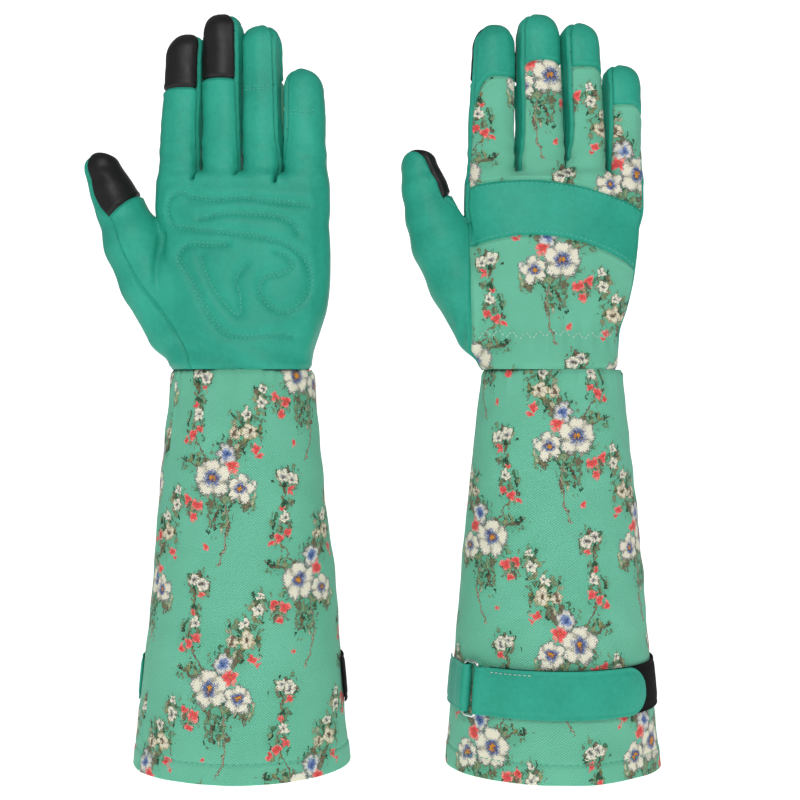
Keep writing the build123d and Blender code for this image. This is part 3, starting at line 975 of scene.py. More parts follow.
def ring_stitches(glove, form, name, z, angles, pitch=3.2, length=2.1):
    """Stitches round the cuff at a height."""
    count = int((angles[1] - angles[0]) * CUFF_RADIUS / pitch)
    at = np.linspace(angles[0], angles[1], count)
    a, n = cuff_surface(glove, form, at, np.full(count, z))
    b, _ = cuff_surface(glove, form, at + length / CUFF_RADIUS, np.full(count, z))
    return make_stitches(glove, name, a, b, n)


def strap_stitches(glove, form, name, s_range, v, lift, pitch=2.4, length=1.5, radius=0.26):
    """Stitches along the strap's length at a distance from its middle."""
    at = np.arange(s_range[0], s_range[1], pitch)
    z = np.full(len(at), form.strap_z + v)
    a = form.place(at, z, lift)
    b = form.place(at + length, z, lift)
    n = form.place(at, z, lift + 1.0) - a
    return make_stitches(glove, name, a, b, n, radius)


# Materials


class Signal:
    """A number or vector travelling through a shader, which can be calculated with."""

    def __init__(self, shader, socket):
        self.shader, self.socket = shader, socket

    def __add__(self, other):
        return self.shader.math("ADD", self, other)

    def __sub__(self, other):
        return self.shader.math("SUBTRACT", self, other)

    def __mul__(self, other):
        return self.shader.math("MULTIPLY", self, other)

    def __truediv__(self, other):
        return self.shader.math("DIVIDE", self, other)

    def under(self, other):
        return self.shader.math("LESS_THAN", self, other)

    def over(self, other):
        return self.shader.math("GREATER_THAN", self, other)

    def at_most(self, other):
        return self.shader.math("MINIMUM", self, other)

    def at_least(self, other):
        return self.shader.math("MAXIMUM", self, other)


class Shader:
    """A material's node tree, with short ways to add and join its nodes."""

    def __init__(self, name):
        self.material = bpy.data.materials.new(name)
        self.material.use_nodes = True
        self.tree = self.material.node_tree
        self.surface = self.tree.nodes["Principled BSDF"]

    def join(self, value, socket):
        if isinstance(value, Signal):
            self.tree.links.new(value.socket, socket)
        else:
            socket.default_value = value

    def node(self, kind, inputs, output=0, **settings):
        made = self.tree.nodes.new(kind)
        for key, value in settings.items():
            setattr(made, key, value)
        for key, value in inputs.items():
            self.join(value, made.inputs[key])
        return Signal(self, made.outputs[output])

    def math(self, operation, *values):
        return self.node("ShaderNodeMath", dict(enumerate(values)), operation=operation)

    def vector(self, operation, *values):
        return self.node("ShaderNodeVectorMath", dict(enumerate(values)), operation=operation)

    def scaled(self, vector, amount):
        return self.node("ShaderNodeVectorMath", {0: vector, 3: amount}, operation="SCALE")

    def parts(self, vector):
        split = self.tree.nodes.new("ShaderNodeSeparateXYZ")
        self.join(vector, split.inputs[0])
        return [Signal(self, split.outputs[n]) for n in range(3)]

    def whole(self, x, y, z=0.0):
        return self.node("ShaderNodeCombineXYZ", {0: x, 1: y, 2: z})

    def noise(self, place, scale, detail=2.0, output=0, dimensions="3D"):
        inputs = {"Vector": place, "Scale": scale, "Detail": detail}
        return self.node("ShaderNodeTexNoise", inputs, output, noise_dimensions=dimensions)

    def ramp(self, value, stops):
        """Colour by value, through (position, colour) stops."""
        made = self.tree.nodes.new("ShaderNodeValToRGB")
        elements = made.color_ramp.elements
        while len(elements) < len(stops):
            elements.new(1.0)
        for element, (position, color) in zip(elements, stops):
            element.position = position
            element.color = (*color, 1.0)
        self.join(value, made.inputs[0])
        return Signal(self, made.outputs[0])

    def mix(self, amount, below, above, blend="MIX"):
        made = self.tree.nodes.new("ShaderNodeMix")
        made.data_type = "RGBA"
        made.blend_type = blend
        self.join(amount, made.inputs["Factor"])
        for value, key in ((below, 6), (above, 7)):
            self.join(value if isinstance(value, Signal) else (*value, 1.0), made.inputs[key])
        return Signal(self, made.outputs[2])

    def spread(self, value, low, high):
        """A 0 to 1 signal brought to a range."""
        return self.math("MULTIPLY_ADD", value, high - low, low)

    def bump(self, height, distance, strength=1.0):
        inputs = {"Height": height, "Distance": distance, "Strength": strength}
        return self.node("ShaderNodeBump", inputs)

    def place(self):
        """Rest position on the piece, in millimetres."""
        coordinates = self.tree.nodes.new("ShaderNodeTexCoord")
        return self.scaled(Signal(self, coordinates.outputs["Object"]), 1000.0)

    def cloth_place(self):
        """Place on the cloth, in millimetres."""
        place = self.node("ShaderNodeUVMap", {}, uv_map="print")
        return self.scaled(place, 1000.0)

    def finish(self, **sockets):
        """Joins values to the surface's sockets, by their names, and gives the material."""
        for key, value in sockets.items():
            self.join(value, self.surface.inputs[key.replace("_", " ").title().replace("Ior", "IOR")])
        return self.material


def leather(name, light, dark, roughness, grain):
    """Soft grained leather: pebbles with valleys between, cloudy colour with painted shade in the valleys,
    and a satin shine that varies.
    """
    sh = Shader(name)
    p = sh.place()
    cloud = sh.noise(p, 0.035, 3.0)
    mottle = sh.noise(p, 0.4, 3.0)
    cells = {"Vector": p, "Scale": 1.35, "Randomness": 0.9}
    pebbles = sh.node("ShaderNodeTexVoronoi", cells, "Distance", feature="SMOOTH_F1")
    pores = sh.noise(p, 3.5, 2.0)
    creases = sh.noise(p, 0.11, 3.0)
    height = pebbles * -0.7 + pores * 0.35 + mottle * 0.5 + creases * 5.0
    # The colour is cloudy at random, and darker in the valleys between the pebbles where the bump sinks: that
    # darkening is painted shade.
    tone_and_valley_shade = (cloud * 0.75 + mottle * 0.35 - pebbles * 0.12).at_least(0.0)
    color = sh.ramp(tone_and_valley_shade, ((0.25, dark), (0.7, light)))
    shine = sh.spread(mottle * 0.6 + pebbles * 0.5, roughness - 0.12, roughness + 0.14)
    sh.surface.inputs["Specular IOR Level"].default_value = 0.32
    return sh.finish(base_color=color, roughness=shine, normal=sh.bump(height, grain / 1000, 0.55))


GROUND = (0.145, 0.505, 0.342)
CREAM, GREY_LILAC, UMBER = (0.80, 0.77, 0.62), (0.36, 0.37, 0.40), (0.07, 0.055, 0.035)
NAVY, BLUE, AMBER = (0.02, 0.035, 0.11), (0.10, 0.17, 0.40), (0.72, 0.30, 0.03)
CORAL, ROSE, BLUSH = (0.84, 0.10, 0.10), (0.62, 0.05, 0.07), (0.92, 0.45, 0.36)
SAGE, LEAF, MOSS, BARK = (0.24, 0.36, 0.20), (0.07, 0.18, 0.09), (0.025, 0.07, 0.04), (0.17, 0.12, 0.08)
BEIGE, OLIVE, SKY = (0.62, 0.55, 0.38), (0.25, 0.24, 0.10), (0.30, 0.38, 0.58)

# A flower's colours from its middle to its rim
ANEMONE = ((0.0, AMBER), (0.13, AMBER), (0.19, NAVY), (0.30, BLUE), (0.42, GREY_LILAC), (0.52, CREAM),
           (0.88, CREAM), (0.95, GREY_LILAC), (1.0, UMBER))
BLUE_CUP = ((0.0, NAVY), (0.22, BLUE), (0.45, SKY), (0.62, CREAM), (0.90, GREY_LILAC), (1.0, UMBER))
WHITE_BUD = ((0.0, OLIVE), (0.16, UMBER), (0.30, GREY_LILAC), (0.5, CREAM), (0.86, CREAM), (1.0, MOSS))
BEIGE_BUD = ((0.0, UMBER), (0.2, BARK), (0.34, BEIGE), (0.55, CREAM), (0.85, BEIGE), (1.0, OLIVE))
RED_BERRY = ((0.0, AMBER), (0.18, ROSE), (0.45, CORAL), (0.75, CORAL), (0.92, BLUSH), (1.0, ROSE))

# The print's repeat: one bouquet every REPEAT_X across, each column lifted by half of REPEAT_Z
REPEAT_X, REPEAT_Z = 46.0, 105.0
# Blossoms by the half of the repeat that they lie in: x, z, radius, petals, notch, turn, colours
BOUQUET = (
    (-8.6, 32.6, 3.1, 5, 0.35, 0.4, WHITE_BUD),
    (-12.3, 22.2, 2.7, 3, 0.55, 0.9, RED_BERRY),
    (-7.6, 24.9, 2.2, 4, 0.45, 0.2, RED_BERRY),
    (-16.2, 19.6, 1.9, 3, 0.5, 2.1, RED_BERRY),
    (-8.8, -13.2, 3.2, 4, 0.5, 0.7, RED_BERRY),
    (-14.2, -10.8, 2.3, 3, 0.5, 1.8, RED_BERRY),
    (-10.8, -19.4, 2.2, 5, 0.35, 0.0, RED_BERRY),
    (-3.7, -34.8, 1.5, 4, 0.4, 0.5, RED_BERRY),
    (6.6, 12.4, 5.6, 5, 0.25, 0.3, BLUE_CUP),
    (14.2, -4.8, 7.4, 5, 0.28, 1.3, ANEMONE),
    (-0.6, 0.2, 9.8, 5, 0.22, 0.6, ANEMONE),
    (10.2, 6.0, 3.8, 5, 0.35, 1.1, RED_BERRY),
)
SIDE_SPRAYS = (
    (-13.0, 22.4, 3.0, 5, 0.35, 0.2, WHITE_BUD),
    (-19.0, 13.0, 3.6, 5, 0.30, 0.8, BEIGE_BUD),
    (-11.6, 14.2, 4.4, 5, 0.30, 0.0, BEIGE_BUD),
    (-8.4, 5.0, 2.5, 4, 0.5, 0.9, RED_BERRY),
    (-6.2, 1.6, 1.4, 3, 0.5, 0.3, RED_BERRY),
    (6.2, -8.6, 3.4, 5, 0.35, 1.5, WHITE_BUD),
    (10.8, -10.6, 3.6, 5, 0.30, 0.7, WHITE_BUD),
    (10.2, -16.0, 1.9, 4, 0.5, 0.2, RED_BERRY),
    (5.8, -25.4, 1.6, 4, 0.4, 0.9, RED_BERRY),
    (-5.6, 28.8, 3.4, 5, 0.35, 0.9, WHITE_BUD),
    (-5.0, 36.0, 2.4, 4, 0.35, 0.5, WHITE_BUD),
)
SPRAY_CENTRE = (30.0, 10.0)
# Foliage by the half of the repeat: x, z, half width, half height
BOUQUET_LEAVES = ((4.0, -9.0, 19.0, 12.0), (3.0, -21.0, 9.0, 10.0), (-10.0, 8.0, 13.0, 6.5),
                  (-12.0, 26.0, 8.5, 12.0), (17.0, -10.0, 9.0, 9.0), (9.0, 15.0, 12.0, 9.0),
                  (-10.5, -15.0, 7.0, 7.5))
SPRAY_LEAVES = ((-13.5, 16.0, 13.0, 14.5), (8.5, -11.0, 9.5, 9.5), (-5.5, 31.0, 7.5, 11.5),
                (7.5, -23.0, 4.5, 8.0))
TWIGS = (((-2.0, 5.0), (-11.5, 22.0)), ((4.0, 6.0), (12.0, 27.0)), ((-5.0, 4.0), (-19.0, 10.5)))


def in_repeat(sh, x, y, centre):
    """Place within one repeat of the half-drop print, measured from a centre."""
    column = (x - centre[0]) / REPEAT_X
    near = sh.math("WRAP", column, 0.5, -0.5)
    lifted = (y - centre[1] - column * (REPEAT_Z / 2)) / REPEAT_Z
    return near * REPEAT_X, sh.math("WRAP", lifted, 0.5, -0.5) * REPEAT_Z + near * (REPEAT_Z / 2)


def add_blossom(sh, below, x, y, streaks, flower):
    """Paints one open flower, whose petals part at its rim, over what is below."""
    centre_x, centre_y, radius, petals, notch, turn, colors = flower
    dx, dy = x - centre_x, y - centre_y
    reach = sh.math("SQRT", dx * dx + dy * dy)
    heading = sh.math("ARCTAN2", dy, dx)
    petal = sh.math("ABSOLUTE", sh.math("SINE", sh.math("MULTIPLY_ADD", heading, petals / 2, turn)))
    rim = sh.math("MULTIPLY_ADD", sh.math("SQRT", petal), notch * radius, (1 - notch) * radius)
    share = reach / rim + streaks
    color = sh.ramp(share, colors)
    shade = sh.math("MULTIPLY_ADD", sh.math("SQRT", petal), 0.85, 0.3).at_most(1.0)
    color = sh.scaled(color, shade)
    return sh.mix(share.under(1.02), below, color)


# Colours that the leaves are picked from, and how each one darkens from its middle to its rim
LEAF_COLORS = ((0.0, MOSS), (0.2, LEAF), (0.4, SAGE), (0.55, OLIVE), (0.7, BARK), (0.85, SAGE), (1.0, BEIGE))
LEAF_OUTLINE = ((0.0, (1.25, 1.25, 1.15)), (0.5, (1.0, 1.0, 1.0)), (0.85, (0.55, 0.55, 0.55)),
                (1.0, (0.3, 0.3, 0.3)))


def blob(sh, x, y, place):
    """1 in the middle of an oval patch and 0 at its rim."""
    centre_x, centre_y, half_x, half_y = place
    dx, dy = (x - centre_x) * (1 / half_x), (y - centre_y) * (1 / half_y)
    return sh.math("SUBTRACT", 1.0, sh.math("SQRT", dx * dx + dy * dy))


def add_leaves(sh, below, x, y, patches, lean, seed):
    """Paints a mass of pointed leaves inside oval patches."""
    density = blob(sh, x, y, patches[0])
    for patch in patches[1:]:
        density = density.at_least(blob(sh, x, y, patch))
    leafy = sh.whole(x * 0.66 + y * lean, y * 0.27 - x * lean * 0.6, seed)
    cells = {"Vector": leafy, "Scale": 0.82, "Randomness": 1.0}
    distance = sh.node("ShaderNodeTexVoronoi", cells, "Distance", feature="F1")
    kind = sh.parts(sh.node("ShaderNodeTexVoronoi", cells, "Color", feature="F1"))[0]
    size = density.at_most(0.5) * 0.85 + 0.14
    share = distance / size
    shade = sh.node("ShaderNodeClamp", {0: density * 0.5})
    below = sh.mix(shade, below, sh.mix(0.75, below, SAGE, "MULTIPLY"))
    color = sh.ramp(kind, LEAF_COLORS)
    color = sh.mix(1.0, color, sh.ramp(share, LEAF_OUTLINE), "MULTIPLY")
    return sh.mix(share.under(1.0) * density.over(0.0), below, color)


def add_twig(sh, below, x, y, ends):
    """Paints a thin straight twig."""
    (ax, ay), (bx, by) = ends
    run_x, run_y = bx - ax, by - ay
    length = run_x ** 2 + run_y ** 2
    dx, dy = x - ax, y - ay
    along = sh.node("ShaderNodeClamp", {0: (dx * run_x + dy * run_y) * (1 / length)})
    off_x, off_y = dx - along * run_x, dy - along * run_y
    return sh.mix((off_x * off_x + off_y * off_y).under(0.2), below, BARK)


def add_stem(sh, below, x, y):
    """Paints the bouquet's long curved stem."""
    rise = y + 24.0
    aside = sh.math("ABSOLUTE", x - 8.0 + rise * rise * (1 / 80))
    inside = aside.under(0.62) * sh.math("ABSOLUTE", y + 25.0).under(19.5)
    return sh.mix(inside, below, sh.ramp(aside, ((0.0, BEIGE), (0.3, BARK), (0.6, UMBER))))


def floral_twill():
    """Printed twill: a half-drop print of bouquets on a pale green ground, over a fine diagonal weave whose
    ribs and grooves are painted into the colour as light and shade.
    """
    sh = Shader("floral_twill")
    place = sh.cloth_place()
    wobble = sh.vector("SUBTRACT", sh.noise(place, 0.22, 2.0, 1, "2D"), (0.5, 0.5, 0.5))
    shiver = sh.vector("SUBTRACT", sh.noise(place, 0.9, 3.0, 1, "2D"), (0.5, 0.5, 0.5))
    moved = sh.vector("ADD", place, sh.scaled(wobble, 4.5))
    moved = sh.vector("ADD", moved, sh.scaled(shiver, 2.2))
    x, y, _ = sh.parts(moved)
    fleck = sh.noise(place, 1.6, 3.0, 0, "2D")
    streaks = fleck * 0.5 - 0.25
    cloud = sh.noise(place, 0.03, 2.0, 0, "2D")
    deep = (GROUND[0] * 0.86, GROUND[1] * 0.92, GROUND[2] * 0.9)
    pale = (GROUND[0] * 1.16, GROUND[1] * 1.06, GROUND[2] * 1.1)
    color = sh.mix(cloud, deep, pale)
    sx, sy = in_repeat(sh, x, y, SPRAY_CENTRE)
    bx, by = in_repeat(sh, x, y, (0.0, 0.0))
    color = add_leaves(sh, color, sx, sy, SPRAY_LEAVES, 0.22, 3.0)
    for flower in SIDE_SPRAYS:
        color = add_blossom(sh, color, sx, sy, streaks, flower)
    for ends in TWIGS:
        color = add_twig(sh, color, bx, by, ends)
    color = add_stem(sh, color, bx, by)
    color = add_leaves(sh, color, bx, by, BOUQUET_LEAVES, -0.2, 8.0)
    for flower in BOUQUET:
        color = add_blossom(sh, color, bx, by, streaks, flower)
    u, v, _ = sh.parts(place)
    ribs = sh.math("SINE", (u * 0.8 + v) * (2 * math.pi / 1.35))
    threads = sh.math("SINE", (v - u * 0.6) * (2 * math.pi / 1.2))
    weave = ribs * 0.45 + threads * 0.35 + fleck * 0.5
    # The colour is lightened on the weave's ribs and darkened in its grooves, following the bump: painted
    # shade, with random flecks.
    weave_shade = sh.math("MULTIPLY_ADD", weave, 0.24, 0.90)
    color = sh.scaled(color, weave_shade)
    sh.surface.inputs["Sheen Weight"].default_value = 0.08
    sh.surface.inputs["Sheen Roughness"].default_value = 0.5
    sh.surface.inputs["Specular IOR Level"].default_value = 0.2
    roughness = sh.math("MULTIPLY_ADD", fleck, 0.16, 0.72)
    return sh.finish(base_color=color, roughness=roughness, normal=sh.bump(weave, 0.00016, 0.7))


def plain_cloth(name, light, dark, rib, roughness):
    """Plain woven cloth: a check of crossing threads with slight unevenness."""
    sh = Shader(name)
    p = sh.place()
    x, y, z = sh.parts(p)
    over = sh.math("SINE", (x + y) * (2 * math.pi / rib))
    across = sh.math("SINE", z * (2 * math.pi / rib))
    fluff = sh.noise(p, 1.2, 3.0)
    weave = over * across * 0.6 + fluff
    color = sh.ramp(weave, ((0.15, dark), (0.85, light)))
    return sh.finish(base_color=color, roughness=sh.spread(fluff, roughness - 0.1, roughness + 0.1),
                     normal=sh.bump(weave, rib / 4000, 0.6))


def loop_tape():
    """Black napped tape: a mat of tiny loops."""
    sh = Shader("loop_tape")
    p = sh.place()
    loops = sh.node("ShaderNodeTexVoronoi", {"Vector": p, "Scale": 1.8}, "Distance", feature="F1")
    fuzz = sh.noise(p, 4.0, 3.0)
    height = fuzz * 0.7 - loops
    color = sh.ramp(height, ((0.0, (0.004, 0.004, 0.005)), (0.6, (0.014, 0.014, 0.015))))
    sh.surface.inputs["Specular IOR Level"].default_value = 0.15
    return sh.finish(base_color=color, roughness=sh.spread(fuzz, 0.8, 0.95),
                     normal=sh.bump(height, 0.0005, 0.8))


def thread(name, light, dark):
    """Twisted sewing thread."""
    sh = Shader(name)
    p = sh.place()
    x, y, z = sh.parts(p)
    twist = sh.math("SINE", (x * 1.3 + y + z * 1.7) * (2 * math.pi / 0.45))
    fuzz = sh.noise(p, 3.0, 2.0)
    color = sh.ramp(twist * 0.3 + fuzz, ((0.2, dark), (0.8, light)))
    return sh.finish(base_color=color, roughness=sh.spread(fuzz, 0.45, 0.65),
                     normal=sh.bump(twist, 0.00008, 0.6))


def bright_wire():
    """Plated wire with faint drawing marks and dulled patches."""
    sh = Shader("ring_steel")
    p = sh.place()
    marks = sh.noise(sh.vector("MULTIPLY", p, (1.0, 1.0, 12.0)), 0.8, 3.0)
    patches = sh.noise(p, 0.25, 3.0)
    color = sh.ramp(patches, ((0.3, (0.58, 0.59, 0.60)), (0.7, (0.80, 0.80, 0.80))))
    sh.surface.inputs["Metallic"].default_value = 1.0
    return sh.finish(base_color=color, roughness=sh.spread(marks * 0.5 + patches * 0.5, 0.12, 0.36),
                     normal=sh.bump(marks, 0.00003, 0.4))


def pale_paper():
    """The pale studio floor and backdrop, which glow a little."""
    sh = Shader("studio")
    fibres = sh.noise(sh.place(), 0.02, 3.0)
    color = sh.ramp(fibres, ((0.3, (0.90, 0.90, 0.90)), (0.7, (0.92, 0.92, 0.92))))
    sh.surface.inputs["Emission Color"].default_value = (1, 1, 1, 1)
    sh.surface.inputs["Emission Strength"].default_value = 0.78
    return sh.finish(base_color=color, roughness=sh.spread(fibres, 0.85, 0.95))


def make_materials():
    """Every finish by its name."""
    return {
        "teal_leather": leather("teal_leather", (0.024, 0.375, 0.262), (0.011, 0.27, 0.185), 0.52, 0.12),
        "floral_twill": floral_twill(),
        "touch_leather": leather("touch_leather", (0.011, 0.010, 0.010), (0.004, 0.004, 0.004), 0.46, 0.07),
        "loop_tape": loop_tape(),
        "ring_steel": bright_wire(),
        "lining": plain_cloth("lining", (0.34, 0.56, 0.46), (0.26, 0.46, 0.37), 0.8, 0.85),
        "green_thread": thread("green_thread", (0.13, 0.60, 0.46), (0.06, 0.42, 0.31)),
        "white_thread": thread("white_thread", (0.72, 0.78, 0.72), (0.5, 0.6, 0.54)),
    }


# Each glove put together


def body_pair(piece_name):
    """The two bodies that a sewn piece of the hand lies between, and its finish."""
    slot = "teal_leather"
    if piece_name.endswith("touch_tip"):
        slot = "touch_leather"
    if piece_name.endswith("_back") or piece_name.startswith("back_"):
        slot = "floral_twill"
    finger = next((f for f in FINGERS if piece_name.startswith(f)), None)
    if finger:
        return "hand", f"{finger}_finger", slot
    if piece_name in ("thumb_front", "thumb_leather", "thumb_touch_tip"):
        return "hand", "thumb", slot
    return "cuff", "hand", slot


def bend(glove, piece, lower, upper):
    """Bakes a piece's place into its mesh. Where its bend between two bodies would start and end is worked
    out, but the piece is not made to follow the joint.
    """
    if upper == "thumb":
        start, end = glove.hinge - glove.thumb_z * THUMB_BEND, glove.hinge + glove.thumb_z * THUMB_BEND
    elif upper == "hand":
        start, end = np.array((0, 0, glove.cuff_top)), np.array((0, 0, ELASTIC_Z))
    else:
        start, end = np.array((0, 0, DIVIDE_Z)), np.array((0, 0, 2 * glove.knuckle_z - DIVIDE_Z))
    low, high = glove.world([start, end])
    glove.name(lower)
    glove.name(upper)
    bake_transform(piece)


# The CAD nodes that a piece stands for, where its name alone doesn't say
REPLACED = {
    "palm": ("palm_panel", "palm_pads"),
    "back_lower": ("back_panel", "wrist_elastic"),
    "knuckle_band": ("knuckle_band",),
    "thumb_leather": ("thumb_leather",),
    "thumb_touch_tip": ("thumb_touch_tip",),
}


def paint(piece, materials, slot, *others):
    """Gives a piece its finishes, in order."""
    for name in (slot, *others):
        piece.data.materials.append(materials[name])


def sew(stitches, materials, thread_name):
    """Gives stitches their thread."""
    stitches.data.materials.append(materials[thread_name])


def fit(glove, piece, node, body):
    """Puts a piece in the place of a CAD node, on a body."""
    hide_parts(glove.name(node))
    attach(piece, glove.name(body))


def dress_hand(glove, materials):
    """The hand's pieces and stitches; only the cross stitches on the fingers and the band stitches are put on
    their bodies.
    """
    pieces, tree = make_hand(glove)
    for name, piece in pieces.items():
        lower, upper, slot = body_pair(name)
        paint(piece, materials, slot)
        bend(glove, piece, lower, upper)
        if name.split("_")[0] in FINGERS:
            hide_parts(glove.name(name))
        elif name in REPLACED:
            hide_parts(*[glove.name(node) for node in REPLACED[name]])
        if name == "palm":
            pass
        else:
            "gathered" if name == "back_lower" else "stretched"
    sew_palm_side(glove, tree, materials)
    sew_back(glove, tree, materials)


def sew_palm_side(glove, tree, materials):
    """The double quilting rows on the palm, and the rows across the ring and little fingers."""
    rows = []
    for line in PAD_LINES[:3]:
        fine = path_through(line, 1.0)
        rows += [rows_beside(fine, STITCH_ROW_GAP / 2), rows_beside(fine, -STITCH_ROW_GAP / 2)]
    rows.append(path_through(PAD_LINES[3], 1.0))
    quilting = stitches_on(glove, tree, "palm_stitches", rows, 1)
    sew(quilting, materials, "green_thread")
    bend(glove, quilting, "cuff", "hand")
    for finger, z in CROSS_SEAM_Z.items():
        middle = glove.finger_centre(FINGERS.index(finger), z)
        heights = (z - 0.9, z + 0.9)
        rows = [((middle - 9.5, h), (middle, h - 0.3), (middle + 8.0, h + 0.5)) for h in heights]
        seam = stitches_on(glove, tree, f"{finger}_cross_stitches", rows, 1)
        sew(seam, materials, "green_thread")
        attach(seam, glove.name(f"{finger}_finger"))


def sew_back(glove, tree, materials):
    """The zigzag that holds the wrist's elastic, and the rows along the knuckle band's edges."""
    peaks = []
    for k in range(23):
        swing = 2.2 if k % 2 else -2.2
        peaks.append((-40.0 + 3.4 * k, ELASTIC_Z + swing + 0.9 * math.sin(k * 0.7)))
    zigzag = stitches_on(glove, tree, "wrist_zigzag", list(zip(peaks, peaks[1:])), -1, 2.05, 1.75, 0.2)
    sew(zigzag, materials, "white_thread")
    bend(glove, zigzag, "cuff", "hand")
    x = np.linspace(-42, 43, 12)
    for name, edge, drop in (("top", BAND_TOP, -STITCH_ROW_GAP), ("bottom", BAND_BOTTOM, STITCH_ROW_GAP)):
        row = [np.column_stack((x, arc_height(x, edge) + drop))]
        seam = stitches_on(glove, tree, f"band_stitches_{name}", row, -1, 2.6, 1.7, 0.2)
        sew(seam, materials, "green_thread")
        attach(seam, glove.name("hand"))


def perimeter(half_x, half_y):
    """An ellipse's perimeter, by Ramanujan's formula."""
    h = ((half_x - half_y) / (half_x + half_y)) ** 2
    return math.pi * (half_x + half_y) * (1 + 3 * h / (10 + math.sqrt(4 - 3 * h)))


def band_flat(path):
    """A band's flat length and width in metres."""
    steps = np.diff(path_through(path, 1.0), axis=0)
    length = float(np.linalg.norm(steps, axis=1).sum())
    return length / 1000, STRAP_HEIGHT / 1000


def strap_paths(form):
    """Paths of the folded strap, the base strap and the tab, as (s, lift) rows."""
    bar, far = RING_BAR, form.s_at_x(STRAP_TIP_X)

    def fold(side, turns):
        radius = FOLD_RADIUS
        return [(side * (bar + radius * math.sin(a)), RING_LIFT - radius * math.cos(a)) for a in turns]

    strap = fold(1, np.linspace(0.3, -math.pi, 7))
    strap += [(bar + 3.5, 3.9), (bar + 8.0, 2.6), (bar + 14.0, 2.45)]
    strap += [(far - 20, STRAP_LIFT), (far, STRAP_LIFT)]
    base = [(s, TAPE_LIFT) for s in (bar + 4.5, 30.0, form.s_at_angle(-0.16))]
    tab_end = form.s_at_angle(math.pi + 0.04)
    tab = [(tab_end, 1.0), (tab_end + 8, 1.6), (-bar - 9.0, 2.2), (-bar - 4.0, 3.6)]
    tab += fold(-1, np.linspace(-math.pi, 0.3, 7))[1:]
    return strap, base, tab


def dress_cuff(glove, materials):
    """The cuff, its strap and their stitches, on their bodies."""
    form = CuffForm(glove)
    cuff = make_cuff(glove, form)
    paint(cuff, materials, "floral_twill", "lining")
    fit(glove, cuff, "cuff_panel", "cuff")
    rims = [perimeter(*glove.hem_half), perimeter(*glove.top_half)]
    cut_size = (max(rims) / 1000, glove.cuff_top / 1000)
    cut_area = sum(rims) / 2 * glove.cuff_top / 1e6
    glove.name("back_lower_sewn")
    hem_span = (SIDE_SEAM - 2 * math.pi + 0.03, SIDE_SEAM - 0.05)
    hem = ring_stitches(glove, form, "hem_stitches", HEM_STITCH_Z, hem_span)
    sew(hem, materials, "green_thread")
    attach(hem, glove.name("cuff"))
    dress_strap(glove, form, materials)


def dress_strap(glove, form, materials):
    """The folded strap, the base strap, the tab, the strap's stitches and the ring."""
    strap_path, base_path, tab_path = strap_paths(form)
    strap = make_band(glove, form, "strap_band", strap_path, FOLDED_THICKNESS, STRAP_HEIGHT / 2)
    paint(strap, materials, "teal_leather")
    fit(glove, strap, "strap", "strap")
    base = make_band(glove, form, "strap_base_band", base_path, TAPE_THICKNESS)
    paint(base, materials, "loop_tape")
    fit(glove, base, "strap_base", "cuff")
    band_flat(base_path)
    band_flat(strap_path)
    tab = make_band(glove, form, "strap_tab_band", tab_path, FOLDED_THICKNESS)
    paint(tab, materials, "teal_leather")
    fit(glove, tab, "strap_tab", "cuff")
    band_flat(tab_path)
    span = (RING_BAR + 4.0, RING_BAR + 27.0)
    below_edge = STRAP_HEIGHT / 2 - 2.2
    on_face = STRAP_LIFT + 0.85
    row = strap_stitches(glove, form, "strap_stitches", span, below_edge, on_face)
    sew(row, materials, "white_thread")
    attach(row, glove.name("strap"))
    ring = frame["nodes"][glove.name("strap_ring")]
    ring.data.materials.clear()
    ring.data.materials.append(materials["ring_steel"])
    for polygon in ring.data.polygons:
        polygon.material_index = 0


# The studio


# The sweep, in metres: half its width, its front edge, and where it turns up, how tightly and how high
SWEEP_HALF_WIDTH = 0.9
SWEEP_FRONT, SWEEP_TURN = -1.1, 0.7
SWEEP_RADIUS = 0.8
SWEEP_TOP = 1.1
CAMERA_PLACE = (0.0153, -0.62, 0.192)
CAMERA_LENS = 52.1
SKY_STRENGTH = 0.28
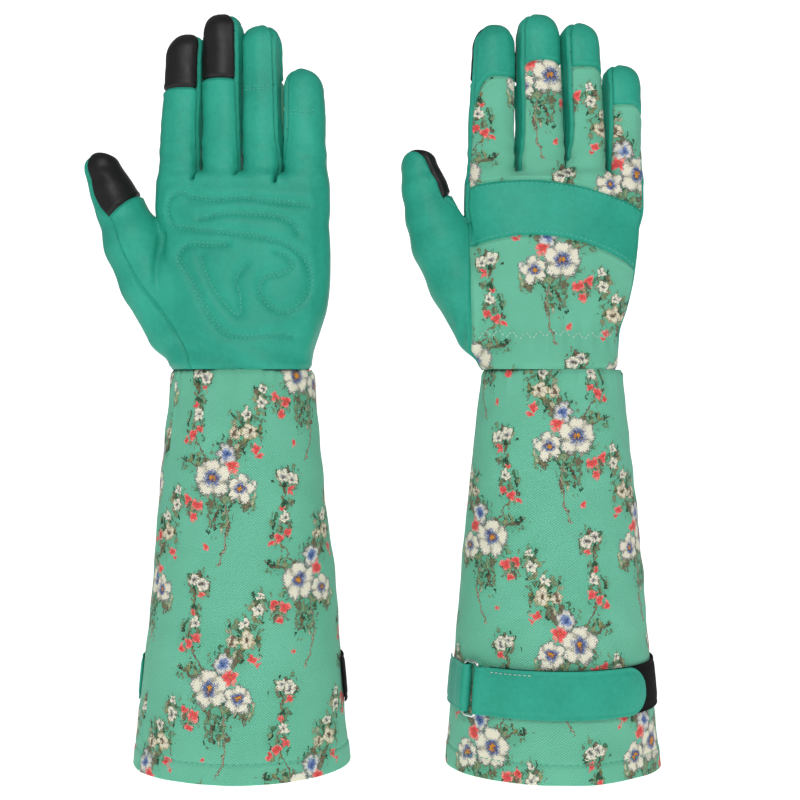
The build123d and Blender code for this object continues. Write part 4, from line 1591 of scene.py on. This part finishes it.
# Each light's place in metres, size and power
LIGHTS = {
    "key": ((0.0, -0.95, 0.75), 0.45, 5.0),
    "left": ((-1.3, -0.7, 0.5), 0.8, 1.0),
    "right": ((1.3, -0.7, 0.5), 0.8, 1.0),
}
LIT_POINT = Vector((0, 0, 0.2))


def make_studio():
    """A pale sweep under and behind the gloves, soft lights and the camera."""
    radius = SWEEP_RADIUS
    profile = [(SWEEP_FRONT, 0.0), (SWEEP_TURN, 0.0)]
    for a in np.linspace(0.1, math.pi / 2, 12):
        profile.append((SWEEP_TURN + radius * math.sin(a), radius - radius * math.cos(a)))
    profile.append((SWEEP_TURN + radius, SWEEP_TOP))
    points = [(x, y, z) for y, z in profile for x in (-SWEEP_HALF_WIDTH, SWEEP_HALF_WIDTH)]
    mesh = bpy.data.meshes.new("studio_sweep")
    mesh.from_pydata(points, [], [(2 * i, 2 * i + 1, 2 * i + 3, 2 * i + 2) for i in range(len(profile) - 1)])
    mesh.polygons.foreach_set("use_smooth", np.ones(len(mesh.polygons), bool))
    sweep = bpy.data.objects.new("studio_sweep", mesh)
    sweep.data.materials.append(pale_paper())
    bpy.context.scene.collection.objects.link(sweep)
    world = bpy.data.worlds.new("studio")
    world.use_nodes = True
    sky = world.node_tree.nodes["Background"].inputs
    sky["Color"].default_value = (1, 1, 1, 1)
    sky["Strength"].default_value = SKY_STRENGTH
    bpy.context.scene.world = world
    for name, (place, size, power) in LIGHTS.items():
        lamp = bpy.data.lights.new(name, "AREA")
        lamp.energy, lamp.size = power, size
        light = bpy.data.objects.new(name, lamp)
        light.location = place
        light.rotation_euler = (LIT_POINT - Vector(place)).to_track_quat("-Z", "Y").to_euler()
        bpy.context.scene.collection.objects.link(light)
    lens = bpy.data.cameras.new("camera")
    lens.lens = CAMERA_LENS
    camera = bpy.data.objects.new("camera", lens)
    camera.location = CAMERA_PLACE
    camera.rotation_euler = (math.pi / 2, 0, 0)
    bpy.context.scene.collection.objects.link(camera)
    bpy.context.scene.camera = camera
    bpy.context.scene.view_settings.view_transform = "Standard"


materials = make_materials()
for side in ("left", "right"):
    glove = Glove(side)
    dress_hand(glove, materials)
    dress_cuff(glove, materials)
make_studio()
